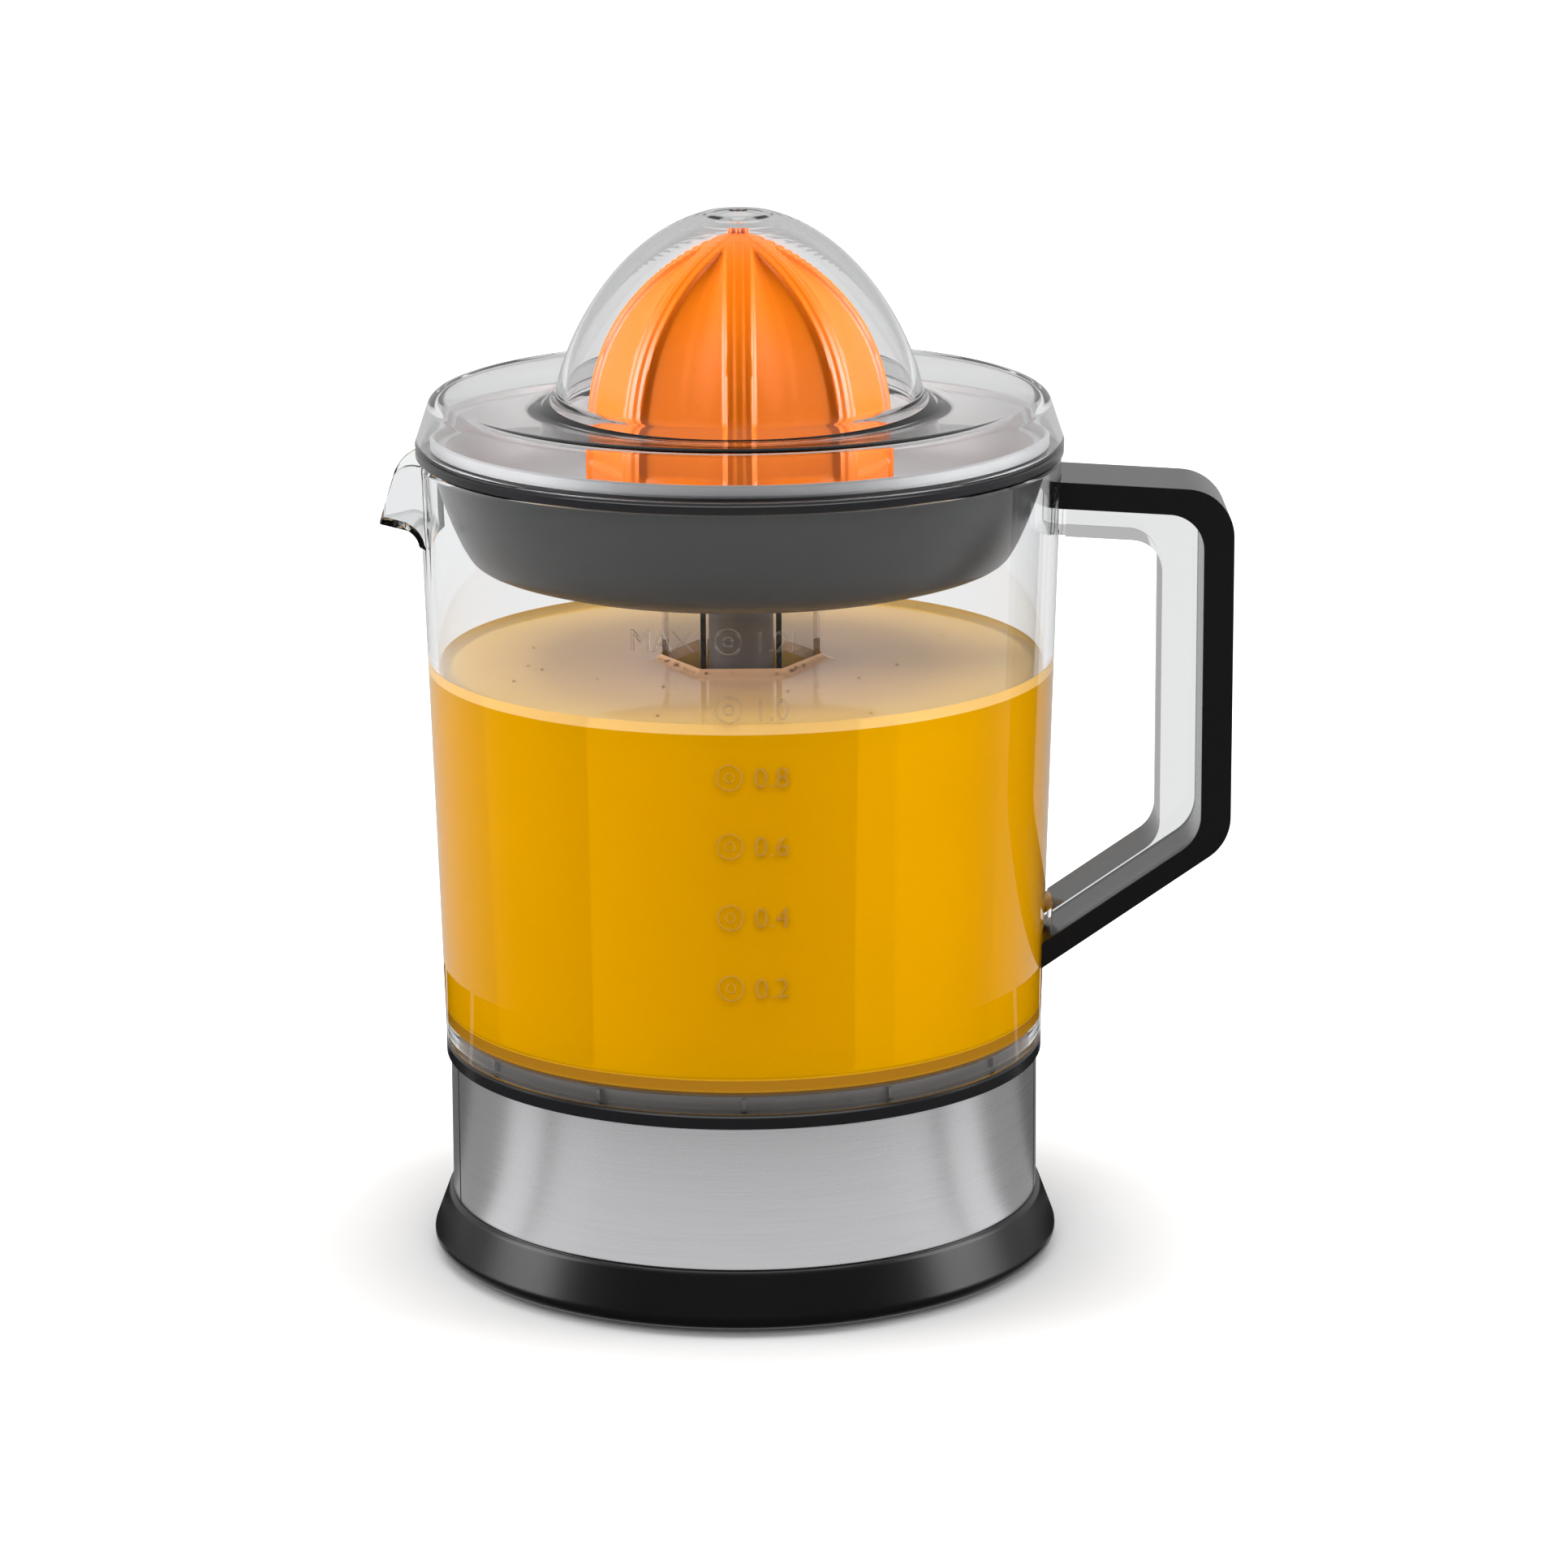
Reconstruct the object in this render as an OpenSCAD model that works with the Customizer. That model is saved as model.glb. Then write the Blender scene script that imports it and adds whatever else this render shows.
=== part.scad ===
// Electric citrus press juicer: a motor base, a clear jug with a handle and a
// spout, a juice collector, a strainer, a ribbed reamer cone and a clear dust
// cover. Millimetres. +Z is up, z = 0 is the table and the Z axis is the axis
// of the drive shaft. The front is -Y, the spout is on -X, the handle on +X.

/* [Base] */
// Outer radius of the steel band around the base
band_r = 66.1; // [65.5:0.1:66.8]
// Thickness of the steel band
band_t = 0.6; // [0.4:0.1:1.0]
// Height of the upper edge of the steel band
band_top = 46.3; // [45.5:0.1:52]
// How far the foot flares out beyond the steel band
flare_out = 4.4; // [3:0.1:8]
// Height of the upper edge of the flared foot
flare_top = 14; // [13:0.5:17]
// Radius that rounds the lower edge of the flared foot
flare_round = 2.5; // [1:0.1:3]
// Wall of the plastic housings
shell_t = 2.4; // [1.8:0.1:3]
// Thickness of the bottom plate
plate_t = 2.5; // [2:0.1:3]
// Height of the black ring that the jug stands on
deck_t = 3; // [2.4:0.1:4]
// Radius of one rubber foot
foot_r = 6.5; // [4:0.5:8]
// How far a foot stands out below the bottom plate
foot_stand = 1.5; // [1:0.1:2.5]
// How deep a foot sits in its pocket
foot_sink = 1.4; // [0.8:0.1:1.6]
// Distance from the housing's inner wall to the axes of the feet and the housing screws
foot_in = 7.05; // [6.6:0.05:9]
// Bore radius of the cord inlet
inlet_r = 2.8; // [2:0.1:2.9]

/* [Jug] */
// How far the jug's lower edge stands out beyond the steel band
jug_over = 0.9; // [0.3:0.1:2]
// How much larger the jug's radius is at its rim
jug_flare = 4; // [3:0.1:6]
// Height of the jug without its handle
jug_h = 132.3; // [110:0.5:150]
// Wall of the jug
jug_wall = 2.2; // [1.6:0.1:2.6]
// Thickness of the jug floor
jug_floor_t = 2.5; // [2:0.1:4]
// Height of the skirt below the jug floor
skirt_h = 4.8; // [4:0.1:8]
// Radius over the corners of the six-sided centre column
column_r = 17.7; // [16.5:0.1:20]
// Wall of the centre column
column_wall = 2.2; // [1.6:0.1:2.6]
// Radius that rounds the inner corner of the jug floor
floor_round = 3; // [1:0.5:6]
// Distance that the spout reaches beyond the rim
spout_reach = 8.9; // [5:0.1:14]
// Width of the spout at the wall
spout_w = 28; // [20:1:40]
// Drop from the rim to the tip of the spout
spout_drop = 15.4; // [10:0.2:18]
// Radius of the spout's nose, seen from above
spout_tip_r = 3.6; // [3:0.1:5]
// Radius that rounds the upper edge of the spout's cheeks
spout_round = 8; // [3:0.5:9]
// Wall of the spout
spout_t = 1.6; // [1.2:0.1:2]

/* [Handle] */
// Distance that the handle reaches beyond the rim
handle_reach = 37.6; // [32:0.2:46]
// Drop from the rim to the top of the handle at the wall
handle_top = 4.2; // [3:0.2:12]
// Drop from the rim to the handle's lower elbow
handle_elbow = 86.9; // [75:0.5:92]
// Drop from the rim to the lower end of the handle
handle_foot = 115.3; // [105:0.5:122]
// Fall of the handle's top bar along its length
handle_fall = 3.1; // [0:0.1:6]
// Width of the black grip
grip_w = 24; // [20:0.5:28]
// Width of the clear frame inside the grip
frame_w = 19; // [12:0.5:19]
// Thickness of the grip along the top bar
grip_top_t = 6; // [4:0.1:8]
// Thickness of the grip along its upright
grip_side_t = 6.7; // [4:0.1:8]
// Thickness of the grip along the sloping foot
grip_foot_t = 4.8; // [3.5:0.1:7]
// Thickness of the clear frame along the top bar
frame_top_t = 6.6; // [4:0.1:8]
// Thickness of the clear frame along its upright
frame_side_t = 9; // [5:0.1:11]
// Thickness of the clear frame along the sloping foot
frame_foot_t = 4.5; // [3.5:0.1:7]
// Radius that rounds the outer corners of the handle
handle_round = 11; // [8:0.5:14]
// Thickness of the pads on the jug that carry the frame
pad_t = 1.6; // [1:0.1:2.4]

/* [Collector] */
// Depth of the collector bowl below the jug's rim
bowl_depth = 25; // [22:0.5:32]
// Distance from the jug's inner wall to the edge of the bowl's flat floor
bowl_in = 16.8; // [15.5:0.1:22]
// Wall of the collector
bowl_t = 2; // [1.6:0.1:2.4]
// Height of the flange that lies on the jug's rim
flange_t = 2.3; // [1.8:0.1:4]
// How far the flange stands out beyond the jug's rim
flange_over = 0.5; // [0.2:0.1:1]
// Height of the chimney around the shaft
chimney_h = 14; // [11:0.2:15]
// Number of drain slots in the bowl
drain_count = 6; // [3:1:8]
// Length of a drain slot
drain_l = 8; // [5:0.5:12]

/* [Strainer] */
// Sheet thickness of the steel strainer
strainer_t = 1; // [0.6:0.1:1.4]
// Distance from the jug's inner wall to the foot of the dish's sloping wall
dish_in = 12.8; // [11:0.1:16]
// Distance from the jug's inner wall to the top of the dish's sloping wall
brim_in = 4.5; // [4:0.1:6]
// Radius that rounds the dish between its floor and its wall
dish_round = 16; // [8:0.5:20]
// Distance from the jug's inner wall to the upright rim of the strainer
lip_in = 1.3; // [1.1:0.1:2]
// Height of the strainer's rim above the collector's flange
lip_h = 3.2; // [2:0.1:4]
// Height of the strainer's hub above its floor
hub_h = 13; // [11:0.2:14]
// Wall of the strainer's hub
hub_t = 1.6; // [1:0.1:3]
// Number of strainer slots
slot_count = 36; // [24:1:48]
// Width of a strainer slot
slot_w = 1.6; // [1:0.1:2]
// Length of a strainer slot
slot_l = 8; // [5:0.5:9]

/* [Reamer cone] */
// Radius of the cone at its base
cone_r = 33.8; // [32:0.1:35]
// Height of the cone
cone_h = 56; // [50:0.2:57]
// Share of the cone's height that is straight at its foot
cone_foot = 0.08; // [0.04:0.01:0.15]
// Number of ribs, an even number
rib_count = 8; // [6:2:12]
// Width of a rib
rib_w = 6; // [4:0.2:8]
// Depth of the flutes between the ribs
flute_d = 2.6; // [1.5:0.1:3.5]
// Wall of the cone
cone_wall = 2.2; // [1.6:0.1:3]

/* [Dust cover] */
// How far the cover's lower edge stands out beyond the jug's rim
cover_over = 0.6; // [0.3:0.1:1.5]
// How far the cover's wall leans in
cover_lean = 2.7; // [1:0.1:3.5]
// Height of the cover's shoulder
cover_h = 11.1; // [10:0.1:13]
// Drop of the ring between the rim and the dome
cover_dish = 3.3; // [1:0.1:4]
// Outer radius of the dome
dome_r = 41; // [39.5:0.1:46]
// Height of the dome above the ring
dome_h = 43.8; // [43.5:0.2:50]
// Wall of the cover
cover_t = 2; // [1.5:0.1:2.2]

/* [Drive] */
// Radius of the steel drive shaft
shaft_r = 4; // [3:0.1:4.4]
// Radius of the plastic sleeve on the shaft
sleeve_r = 7.2; // [6:0.1:7.6]
// Width across flats of the drive head
head_af = 11.9; // [9:0.1:12]
// Travel of the shaft when the fruit is pressed down
press_travel = 2.5; // [1.5:0.1:3]
// Module of the first gear pair
module_1 = 0.8; // [0.75:0.01:0.85]
// Module of the second gear pair
module_2 = 1; // [0.95:0.01:1.05]
// Teeth of both pinions
pinion_teeth = 12; // [12:1:13]
// Teeth of both wheels
wheel_teeth = 48; // [46:1:50]
// Face width of the first gear pair
face_1 = 4; // [3:0.1:5]
// Face width of the output wheel
face_2 = 5; // [4:0.1:6]
// Backlash of the gear teeth
backlash = 0.16; // [0.1:0.01:0.25]
// Radius of the motor can
motor_r = 19; // [16:0.2:20]
// Wall of the motor can
motor_wall = 1.2; // [0.8:0.1:1.6]
// Radius of the boss on the motor's upper end
motor_boss_r = 4; // [3:0.1:5]
// Distance of the motor's screws from its shaft
motor_screw_at = 9; // [8:0.1:11]
// Radius of the rotor
rotor_r = 12.4; // [9:0.1:13]
// Radius of the motor shaft
motor_shaft_r = 1.5; // [1.2:0.1:2]
// Wall of the two shaft bushes
bush_t = 2; // [1.6:0.1:2.4]
// Radius of the plunger under the shaft
plunger_r = 9; // [8.5:0.1:9.4]
// Radius of the return spring's wire
spring_wire_r = 0.7; // [0.5:0.05:0.8]
// Turns of the return spring
spring_turns = 6; // [4:1:8]

/* [Fits] */
// Gap between a piece and the one it rests on or lifts off
rest_gap = 0.2; // [0.1:0.05:0.3]
// Gap between pieces that are fixed together
fit_gap = 0.05; // [0.02:0.01:0.1]
// Radial clearance of shafts and plungers that run in a bore
run_gap = 0.06; // [0.02:0.01:0.09]
// Clearance around pieces that move past each other
free_gap = 0.6; // [0.4:0.05:0.8]

/* [Hidden] */
$fn = 96;
cut = 1;

// Base heights and radii
plate_z0 = foot_stand;
plate_z1 = plate_z0 + plate_t;
flare_r = band_r + flare_out;
shell_r1 = band_r - band_t - fit_gap;
shell_r0 = shell_r1 - shell_t;
deck_z0 = band_top + fit_gap;
deck_z1 = deck_z0 + deck_t;
jug_r0 = band_r + jug_over;
jug_r1 = jug_r0 + jug_flare;
deck_r = jug_r0 + 0.1;
jug_z0 = deck_z1 + rest_gap;
rim_z = jug_z0 + jug_h;
floor_z0 = jug_z0 + skirt_h;
floor_z1 = floor_z0 + jug_floor_t;
plateau_r = jug_r0 - jug_wall - 2.8;
plateau_z = floor_z0 - 1.5;
deck_in_z = plateau_z - shell_t;
skirt_r1 = shell_r0 - fit_gap;
skirt_r0 = skirt_r1 - 2;
plate_r = flare_r - flare_round - shell_t;
plate_edge_r = plate_r - rest_gap;
foot_circle = shell_r0 - foot_in;
screw_r = 1.25;
pilot_r = screw_r + fit_gap;
post_r = 3.3;
gland_r = inlet_r + 1.6;
gland_flange_r = gland_r + 0.6;
gland_z = plate_z1 + gland_flange_r + 0.25;

// Gear train, from the deck down
pressure_angle = 20;
addendum_pinion = 1;
addendum_wheel = 0.7;
centre_1 = module_1 * (pinion_teeth + wheel_teeth) / 2;
centre_2 = module_2 * (pinion_teeth + wheel_teeth) / 2;
compound_dir = 200;
motor_dir = 100;
compound_at = centre_2 * [cos(compound_dir), sin(compound_dir)];
motor_at = compound_at + centre_1 * [cos(motor_dir), sin(motor_dir)];
bush_r = shaft_r + run_gap + bush_t;
tower_r = bush_r + fit_gap + 3.4;
tower_z0 = deck_in_z - 4;
wheel_2_z1 = tower_z0 - 2.9;
wheel_2_z0 = wheel_2_z1 - face_2;
wheel_1_z1 = wheel_2_z0 - press_travel - 2;
wheel_1_z0 = wheel_1_z1 - face_1;
frame_t = 2;
frame_z1 = wheel_1_z0 - 1.5;
frame_z0 = frame_z1 - frame_t;
frame_r = foot_circle - post_r - 2.7;
standoff_circle = frame_r - 4;
standoff_dirs = [110, 250, 350];
axle_r = 2;
motor_z0 = plate_z1 + 2.2;
motor_z1 = frame_z0;
motor_end_t = 2;
pinion_2_z1 = wheel_2_z1 + 0.5;

// Plunger, switch and return spring under the shaft
switch_size = [12.8, 5.8, 6.5];
switch_z1 = plate_z1 + switch_size[2];
button_r = 1;
button_out = 1.5;
guide_r0 = plunger_r + run_gap;
guide_r1 = guide_r0 + 2.4;
guide_z1 = plate_z1 + 13.5;
plunger_z0 = switch_z1 + press_travel + 0.3;
plunger_flange_z0 = guide_z1 + press_travel + 0.5;
plunger_flange_t = 1.5;
plunger_z1 = plunger_flange_z0 + plunger_flange_t;
spring_r = guide_r1 + spring_wire_r + 0.4;
plunger_flange_r = spring_r + spring_wire_r + 0.2;
shaft_z0 = plunger_z0 + 2.8;

// Collector, strainer, coupler and cone, from the jug's rim
bowl_z0 = rim_z - bowl_depth;
bowl_z1 = bowl_z0 + bowl_t;
flange_z0 = rim_z + rest_gap;
flange_z1 = flange_z0 + flange_t;
chimney_z = bowl_z0 + chimney_h;
chimney_cap_t = 1.5;
spigot_z = chimney_z - chimney_cap_t - 0.7;
hex_z = bowl_z0 - 1;
spigot_r0 = sleeve_r + 0.8;
spigot_r1 = spigot_r0 + column_wall;
chimney_r0 = spigot_r1 + free_gap;
chimney_r1 = chimney_r0 + 1.6;
rim_in_r = jug_r1 - jug_wall;
bowl_floor_r = rim_in_r - bowl_in;
neck_r = rim_in_r - 0.7;
dish_z0 = chimney_z + free_gap;
dish_z1 = dish_z0 + strainer_t;
dish_r = rim_in_r - dish_in;
brim_r = rim_in_r - brim_in;
brim_z = flange_z1 + rest_gap;
lip_r = rim_in_r - lip_in;
lip_z = flange_z1 + lip_h;
hub_z = dish_z1 + hub_h;
coupler_r = 10;
coupler_z0 = dish_z0 + 0.4;
coupler_flange_z = hub_z + 0.3;
coupler_flange_r = coupler_r + 2.8;
coupler_z1 = coupler_flange_z + 1.5;
hub_r = coupler_r + run_gap + hub_t;
sleeve_z1 = spigot_z + 1.5;
head_h = 10.5;
head_z1 = sleeve_z1 + head_h;
shank_z0 = head_z1 + 0.1;
socket_af = head_af + 0.4;
cone_z0 = dish_z1 + press_travel + 0.6;
tower_z1 = deck_in_z + 10.5;
seal_t = 2;
sleeve_z0 = tower_z1 + press_travel + 0.4;

// Dust cover
cover_r = jug_r1 + cover_over;
cover_z0 = flange_z1 + rest_gap;
shoulder_z = cover_z0 + cover_h;
ring_z = shoulder_z - cover_dish;
shoulder_r = 3;

// Outer radius of the jug's wall at height z
function jug_r(z) = jug_r0 + (jug_r1 - jug_r0) * (z - jug_z0) / jug_h;

// Points of an arc about a centre
function arc(centre, r, a0, a1, n = 8) =
    [for (i = [0:n]) centre + r * [cos(a0 + (a1 - a0) * i / n), sin(a0 + (a1 - a0) * i / n)]];

function unit(v) = v / norm(v);

// Points of the arc that rounds the corner p between its neighbours a and b
function corner(a, p, b, r, n = 8) =
    let (u = unit(a - p), v = unit(b - p), half = acos(u * v) / 2,
         centre = p + r / sin(half) * unit(u + v),
         start = p + u * r / tan(half) - centre,
         stop = p + v * r / tan(half) - centre,
         a0 = atan2(start[1], start[0]),
         turn = (atan2(stop[1], stop[0]) - a0 + 540) % 360 - 180)
    arc(centre, r, a0, a0 + turn, n);

// Where the lines through p along u and through q along v cross
function meet(p, u, q, v) = p + u * ((q - p) * [v[1], -v[0]]) / (u * [v[1], -v[0]]);

// Unit vector to the right of v
function right_of(v) = [v[1], -v[0]] / norm(v);

// The handle's line of four corners, moved in by one distance per side
function handle_line(t) =
    let (x = jug_r1 + handle_reach, a = [jug_r0 - 8, rim_z - handle_top],
         b = [x, rim_z - handle_top - handle_fall], c = [x, rim_z - handle_elbow],
         d = [jug_r0 - 8, rim_z - handle_foot - 5.6],
         u = b - a, v = c - b, w = d - c,
         a1 = a + right_of(u) * t[0], b1 = b + right_of(v) * t[1], d1 = d + right_of(w) * t[2])
    [a1, meet(a1, u, b1, v), meet(b1, v, d1, w), d1];

// Rounded run of a handle line, from its upper end to its lower end
function handle_run(t, r_top, r_low) =
    let (p = handle_line(t))
    concat([p[0]], corner(p[0], p[1], p[2], r_top), corner(p[1], p[2], p[3], r_low), [p[3]]);

function reversed(list) = [for (i = [len(list) - 1:-1:0]) list[i]];

// Radius of the reamer cone at the share t of its height
function cone_profile_r(t, r) =
    t < cone_foot ? r : r * pow(1 - pow((t - cone_foot) / (1 - cone_foot), 2.8), 0.75);

// Radius of the dome at the share t of its height
function dome_profile_r(t, r) = r * sqrt(1 - pow(t, 1.51));

// Angle between the start of an involute and its point at radius r
function involute(r, base_r) =
    let (a = acos(min(1, base_r / r))) tan(a) * 180 / PI - a;

// Outline of an involute gear with a tooth on the X axis
function gear_points(m, teeth, addendum, dedendum) =
    let (pitch_r = m * teeth / 2, base_r = pitch_r * cos(pressure_angle),
         tip_r = pitch_r + addendum * m, root_r = pitch_r - dedendum * m,
         half = 90 / teeth - backlash / pitch_r * 45 / PI + involute(pitch_r, base_r),
         start_r = max(base_r, root_r), steps = 4,
         flank = [for (i = [0:steps])
             let (r = start_r + (tip_r - start_r) * i / steps) [r, half - involute(r, base_r)]],
         side = root_r < base_r ? concat([[root_r, half]], flank) : flank)
    [for (k = [0:teeth - 1]) let (a = 360 * k / teeth)
        each concat([for (p = side) p[0] * [cos(a - p[1]), sin(a - p[1])]],
                    [for (p = reversed(side)) p[0] * [cos(a + p[1]), sin(a + p[1])]])];

module at_dirs(circle, dirs) for (a = dirs) rotate(a) translate([circle, 0, 0]) children();

module tube(r_out, r_in, z0, z1) translate([0, 0, z0]) difference() {
    cylinder(r = r_out, h = z1 - z0);
    translate([0, 0, -cut]) cylinder(r = r_in, h = z1 - z0 + 2 * cut);
}

module rod(r, z0, z1) translate([0, 0, z0]) cylinder(r = r, h = z1 - z0);

// Six-sided prism that is af wide across its flats
module hex_rod(af, z0, z1) translate([0, 0, z0]) cylinder(r = af / 2 / cos(30), h = z1 - z0, $fn = 6);

module gear(m, teeth, addendum, dedendum, z0, z1) translate([0, 0, z0])
    linear_extrude(z1 - z0) polygon(gear_points(m, teeth, addendum, dedendum));

module pinion(m, z0, z1) gear(m, pinion_teeth, addendum_pinion, addendum_wheel + 0.3, z0, z1);

module wheel(m, z0, z1) gear(m, wheel_teeth, addendum_wheel, addendum_pinion + 0.25, z0, z1);

module machine_screw(head_z, head_h, tip_z) {
    rod(2 * screw_r + 0.4, head_z, head_z + head_h);
    rod(screw_r, min(tip_z, head_z), max(tip_z, head_z + head_h));
}

// Four feet near the edge and one below the shaft, that takes the force of the press
module rubber_feet() color("dimgray") {
    rod(foot_r, 0, foot_stand + foot_sink);
    at_dirs(foot_circle, [0:90:270]) rod(foot_r, 0, foot_stand + foot_sink);
}

module bottom_plate() color("black") difference() {
    union() {
        rod(plate_edge_r, plate_z0, plate_z1);
        rod(guide_r1, plate_z0, guide_z1);
    }
    rod(guide_r0, plate_z1, guide_z1 + cut);
    rod(foot_r + fit_gap, plate_z0 - cut, plate_z0 + foot_sink);
    at_dirs(foot_circle, [0:90:270]) rod(foot_r + fit_gap, plate_z0 - cut, plate_z0 + foot_sink);
    at_dirs(foot_circle, [45:90:315]) {
        rod(screw_r + 0.2, plate_z0 - cut, plate_z1 + cut);
        rod(2 * screw_r + 0.7, plate_z0 - cut, plate_z0 + 1.2);
    }
    // Air slots below the motor
    translate(motor_at) for (x = [-10:4:10])
        translate([x - 1, -8, plate_z0 - cut]) cube([2, 16, plate_t + 2 * cut]);
}

module lower_housing() color("black") difference() {
    rotate_extrude() polygon(concat(
        [[plate_r, plate_z0]],
        arc([flare_r - flare_round, plate_z0 + flare_round], flare_round, -75, 20),
        [[band_r + 0.7, flare_top], [shell_r1, flare_top], [shell_r1, deck_z0 - fit_gap],
         [shell_r0, deck_z0 - fit_gap], [shell_r0, flare_top - 1], [plate_r, plate_z1 + 4]]
    ));
    translate([0, 0, gland_z]) rotate([-90, 0, 0]) cylinder(r = gland_r + fit_gap, h = flare_r + cut);
}

module steel_band() color("silver") tube(band_r, band_r - band_t, flare_top + fit_gap, band_top);

module upper_housing() color("black") difference() {
    union() {
        rotate_extrude() polygon([
            [bush_r + fit_gap, tower_z0], [tower_r, tower_z0], [tower_r, deck_in_z],
            [plateau_r - shell_t, deck_in_z], [plateau_r - shell_t, deck_z0],
            [plateau_r, deck_z0], [plateau_r, plateau_z - 0.5], [plateau_r - 0.5, plateau_z],
            [tower_r, plateau_z], [tower_r, tower_z1], [bush_r + fit_gap, tower_z1]
        ]);
        // Deck ring, from the plateau's wall and the skirt out to the edge
        rotate_extrude() polygon([
            [min(plateau_r - shell_t / 2, skirt_r0), deck_z0], [deck_r, deck_z0],
            [deck_r, deck_z1 - 0.5], [deck_r - 0.5, deck_z1],
            [min(plateau_r - shell_t / 2, skirt_r0), deck_z1]
        ]);
        // Skirt that locates the deck in the lower housing
        tube(skirt_r1, skirt_r0, deck_z0 - 8, deck_z0 + 0.5);
        at_dirs(foot_circle, [45:90:315]) rod(post_r, plate_z1, deck_in_z + 0.5);
        at_dirs(standoff_circle, standoff_dirs) rod(post_r, frame_z1, deck_in_z + 0.5);
        translate(compound_at) rod(axle_r + 2, pinion_2_z1 + 1.2, deck_in_z + 0.5);
    }
    at_dirs(foot_circle, [45:90:315]) rod(pilot_r, plate_z1 - cut, plate_z1 + 14);
    at_dirs(standoff_circle, standoff_dirs) rod(pilot_r, frame_z1 - cut, frame_z1 + 10);
    translate(compound_at) rod(axle_r + fit_gap, pinion_2_z1, deck_in_z - 0.5);
}

module cord_gland() color("black") translate([0, 0, gland_z]) rotate([-90, 0, 0]) difference() {
    union() {
        rod(gland_r, shell_r0 - 2, flare_r);
        rod(gland_flange_r, shell_r0 - 2, shell_r0 - 0.4);
    }
    rod(inlet_r, shell_r0 - 3, flare_r + cut);
}

module base_screws() color("silver")
    at_dirs(foot_circle, [45:90:315]) machine_screw(plate_z0 + 0.2, 1, plate_z1 + 12);

module gear_frame() color("slategray") difference() {
    rod(frame_r, frame_z0, frame_z1);
    rod(bush_r + fit_gap, frame_z0 - cut, frame_z1 + cut);
    translate(compound_at) rod(axle_r + fit_gap, frame_z0 - cut, frame_z1 + cut);
    translate(motor_at) rod(motor_boss_r + fit_gap, frame_z0 - cut, frame_z1 + cut);
    translate(motor_at) at_dirs(motor_screw_at, [10, 190]) rod(screw_r + 0.1, frame_z0 - cut, frame_z1 + cut);
    at_dirs(standoff_circle, standoff_dirs) rod(screw_r + 0.1, frame_z0 - cut, frame_z1 + cut);
    // Lightening holes clear of every part on the frame
    at_dirs(34, [20, 60, 300]) rod(9, frame_z0 - cut, frame_z1 + cut);
}

module frame_screws() color("silver")
    at_dirs(standoff_circle, standoff_dirs) machine_screw(frame_z0 - 1.2, 1.2 - fit_gap, frame_z1 + 8);

module motor_screws() color("silver") translate(motor_at)
    at_dirs(motor_screw_at, [10, 190]) machine_screw(frame_z1 + fit_gap, 1, frame_z0 - motor_end_t + 0.3);

module motor_can() color("gainsboro") translate(motor_at) difference() {
    union() {
        rod(motor_r, motor_z0, motor_z1);
        rod(motor_boss_r, motor_z1 - cut, frame_z1);
    }
    rod(motor_r - motor_wall, motor_z0 + motor_end_t, motor_z1 - motor_end_t);
    rod(motor_shaft_r + run_gap, motor_z0 - cut, frame_z1 + cut);
    at_dirs(motor_screw_at, [10, 190]) rod(screw_r + fit_gap, motor_z1 - motor_end_t - cut, motor_z1 + cut);
}

module motor_magnets() color("dimgray") translate(motor_at)
    tube(motor_r - motor_wall - fit_gap, rotor_r + free_gap, motor_z0 + motor_end_t + 0.5,
         motor_z1 - motor_end_t - 0.9);

module motor_rotor() color("peru") translate(motor_at) {
    rod(rotor_r, motor_z0 + motor_end_t + 1.5, motor_z1 - motor_end_t - 1.8);
    rod(motor_shaft_r, motor_z0 + 0.3, wheel_1_z1 + 0.8);
}

module motor_pinion() color("gold") translate(motor_at) difference() {
    rotate(motor_dir + 180 + 180 / pinion_teeth) pinion(module_1, wheel_1_z0 - 0.5, wheel_1_z1 + 0.5);
    rod(motor_shaft_r + fit_gap, wheel_1_z0 - 0.5 - cut, wheel_1_z1 + 0.5 + cut);
}

module compound_axle() color("silver") translate(compound_at)
    rod(axle_r, frame_z0 - 0.5, deck_in_z - 0.8);

module compound_gear() color("ivory") translate(compound_at) difference() {
    union() {
        rotate(motor_dir) wheel(module_1, wheel_1_z0, wheel_1_z1);
        rotate(compound_dir + 180 + 180 / pinion_teeth) pinion(module_2, wheel_1_z1 - 0.5, pinion_2_z1);
        rod(axle_r + 2, frame_z1 + 0.3, wheel_1_z0 + 0.5);
    }
    rod(axle_r + run_gap, frame_z1, pinion_2_z1 + cut);
}

module output_gear() color("ivory") difference() {
    rotate(compound_dir) wheel(module_2, wheel_2_z0, wheel_2_z1);
    rod(shaft_r + fit_gap, wheel_2_z0 - cut, wheel_2_z1 + cut);
}

module drive_shaft() color("silver") rod(shaft_r, shaft_z0 + 0.1, head_z1 - 2);

module shaft_sleeve() color("dimgray") tube(sleeve_r, shaft_r + fit_gap, sleeve_z0, sleeve_z1);

module drive_head() color("dimgray") difference() {
    hex_rod(head_af, sleeve_z1, head_z1);
    rod(shaft_r + fit_gap, sleeve_z1 - cut, head_z1 - 2);
}

module lower_bush() color("goldenrod")
    tube(bush_r, shaft_r + run_gap, frame_z0 - 2.5, frame_z1 + 0.5);

module upper_bush() color("goldenrod")
    tube(bush_r, shaft_r + run_gap, tower_z0, tower_z1 - seal_t);

module shaft_seal() color("black") tube(bush_r, shaft_r + run_gap, tower_z1 - seal_t, tower_z1);

module plunger() color("white") difference() {
    union() {
        rod(plunger_r, plunger_z0, plunger_z1);
        rod(plunger_flange_r, plunger_flange_z0, plunger_z1);
    }
    rod(shaft_r + run_gap, shaft_z0, plunger_z1 + cut);
}

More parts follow.
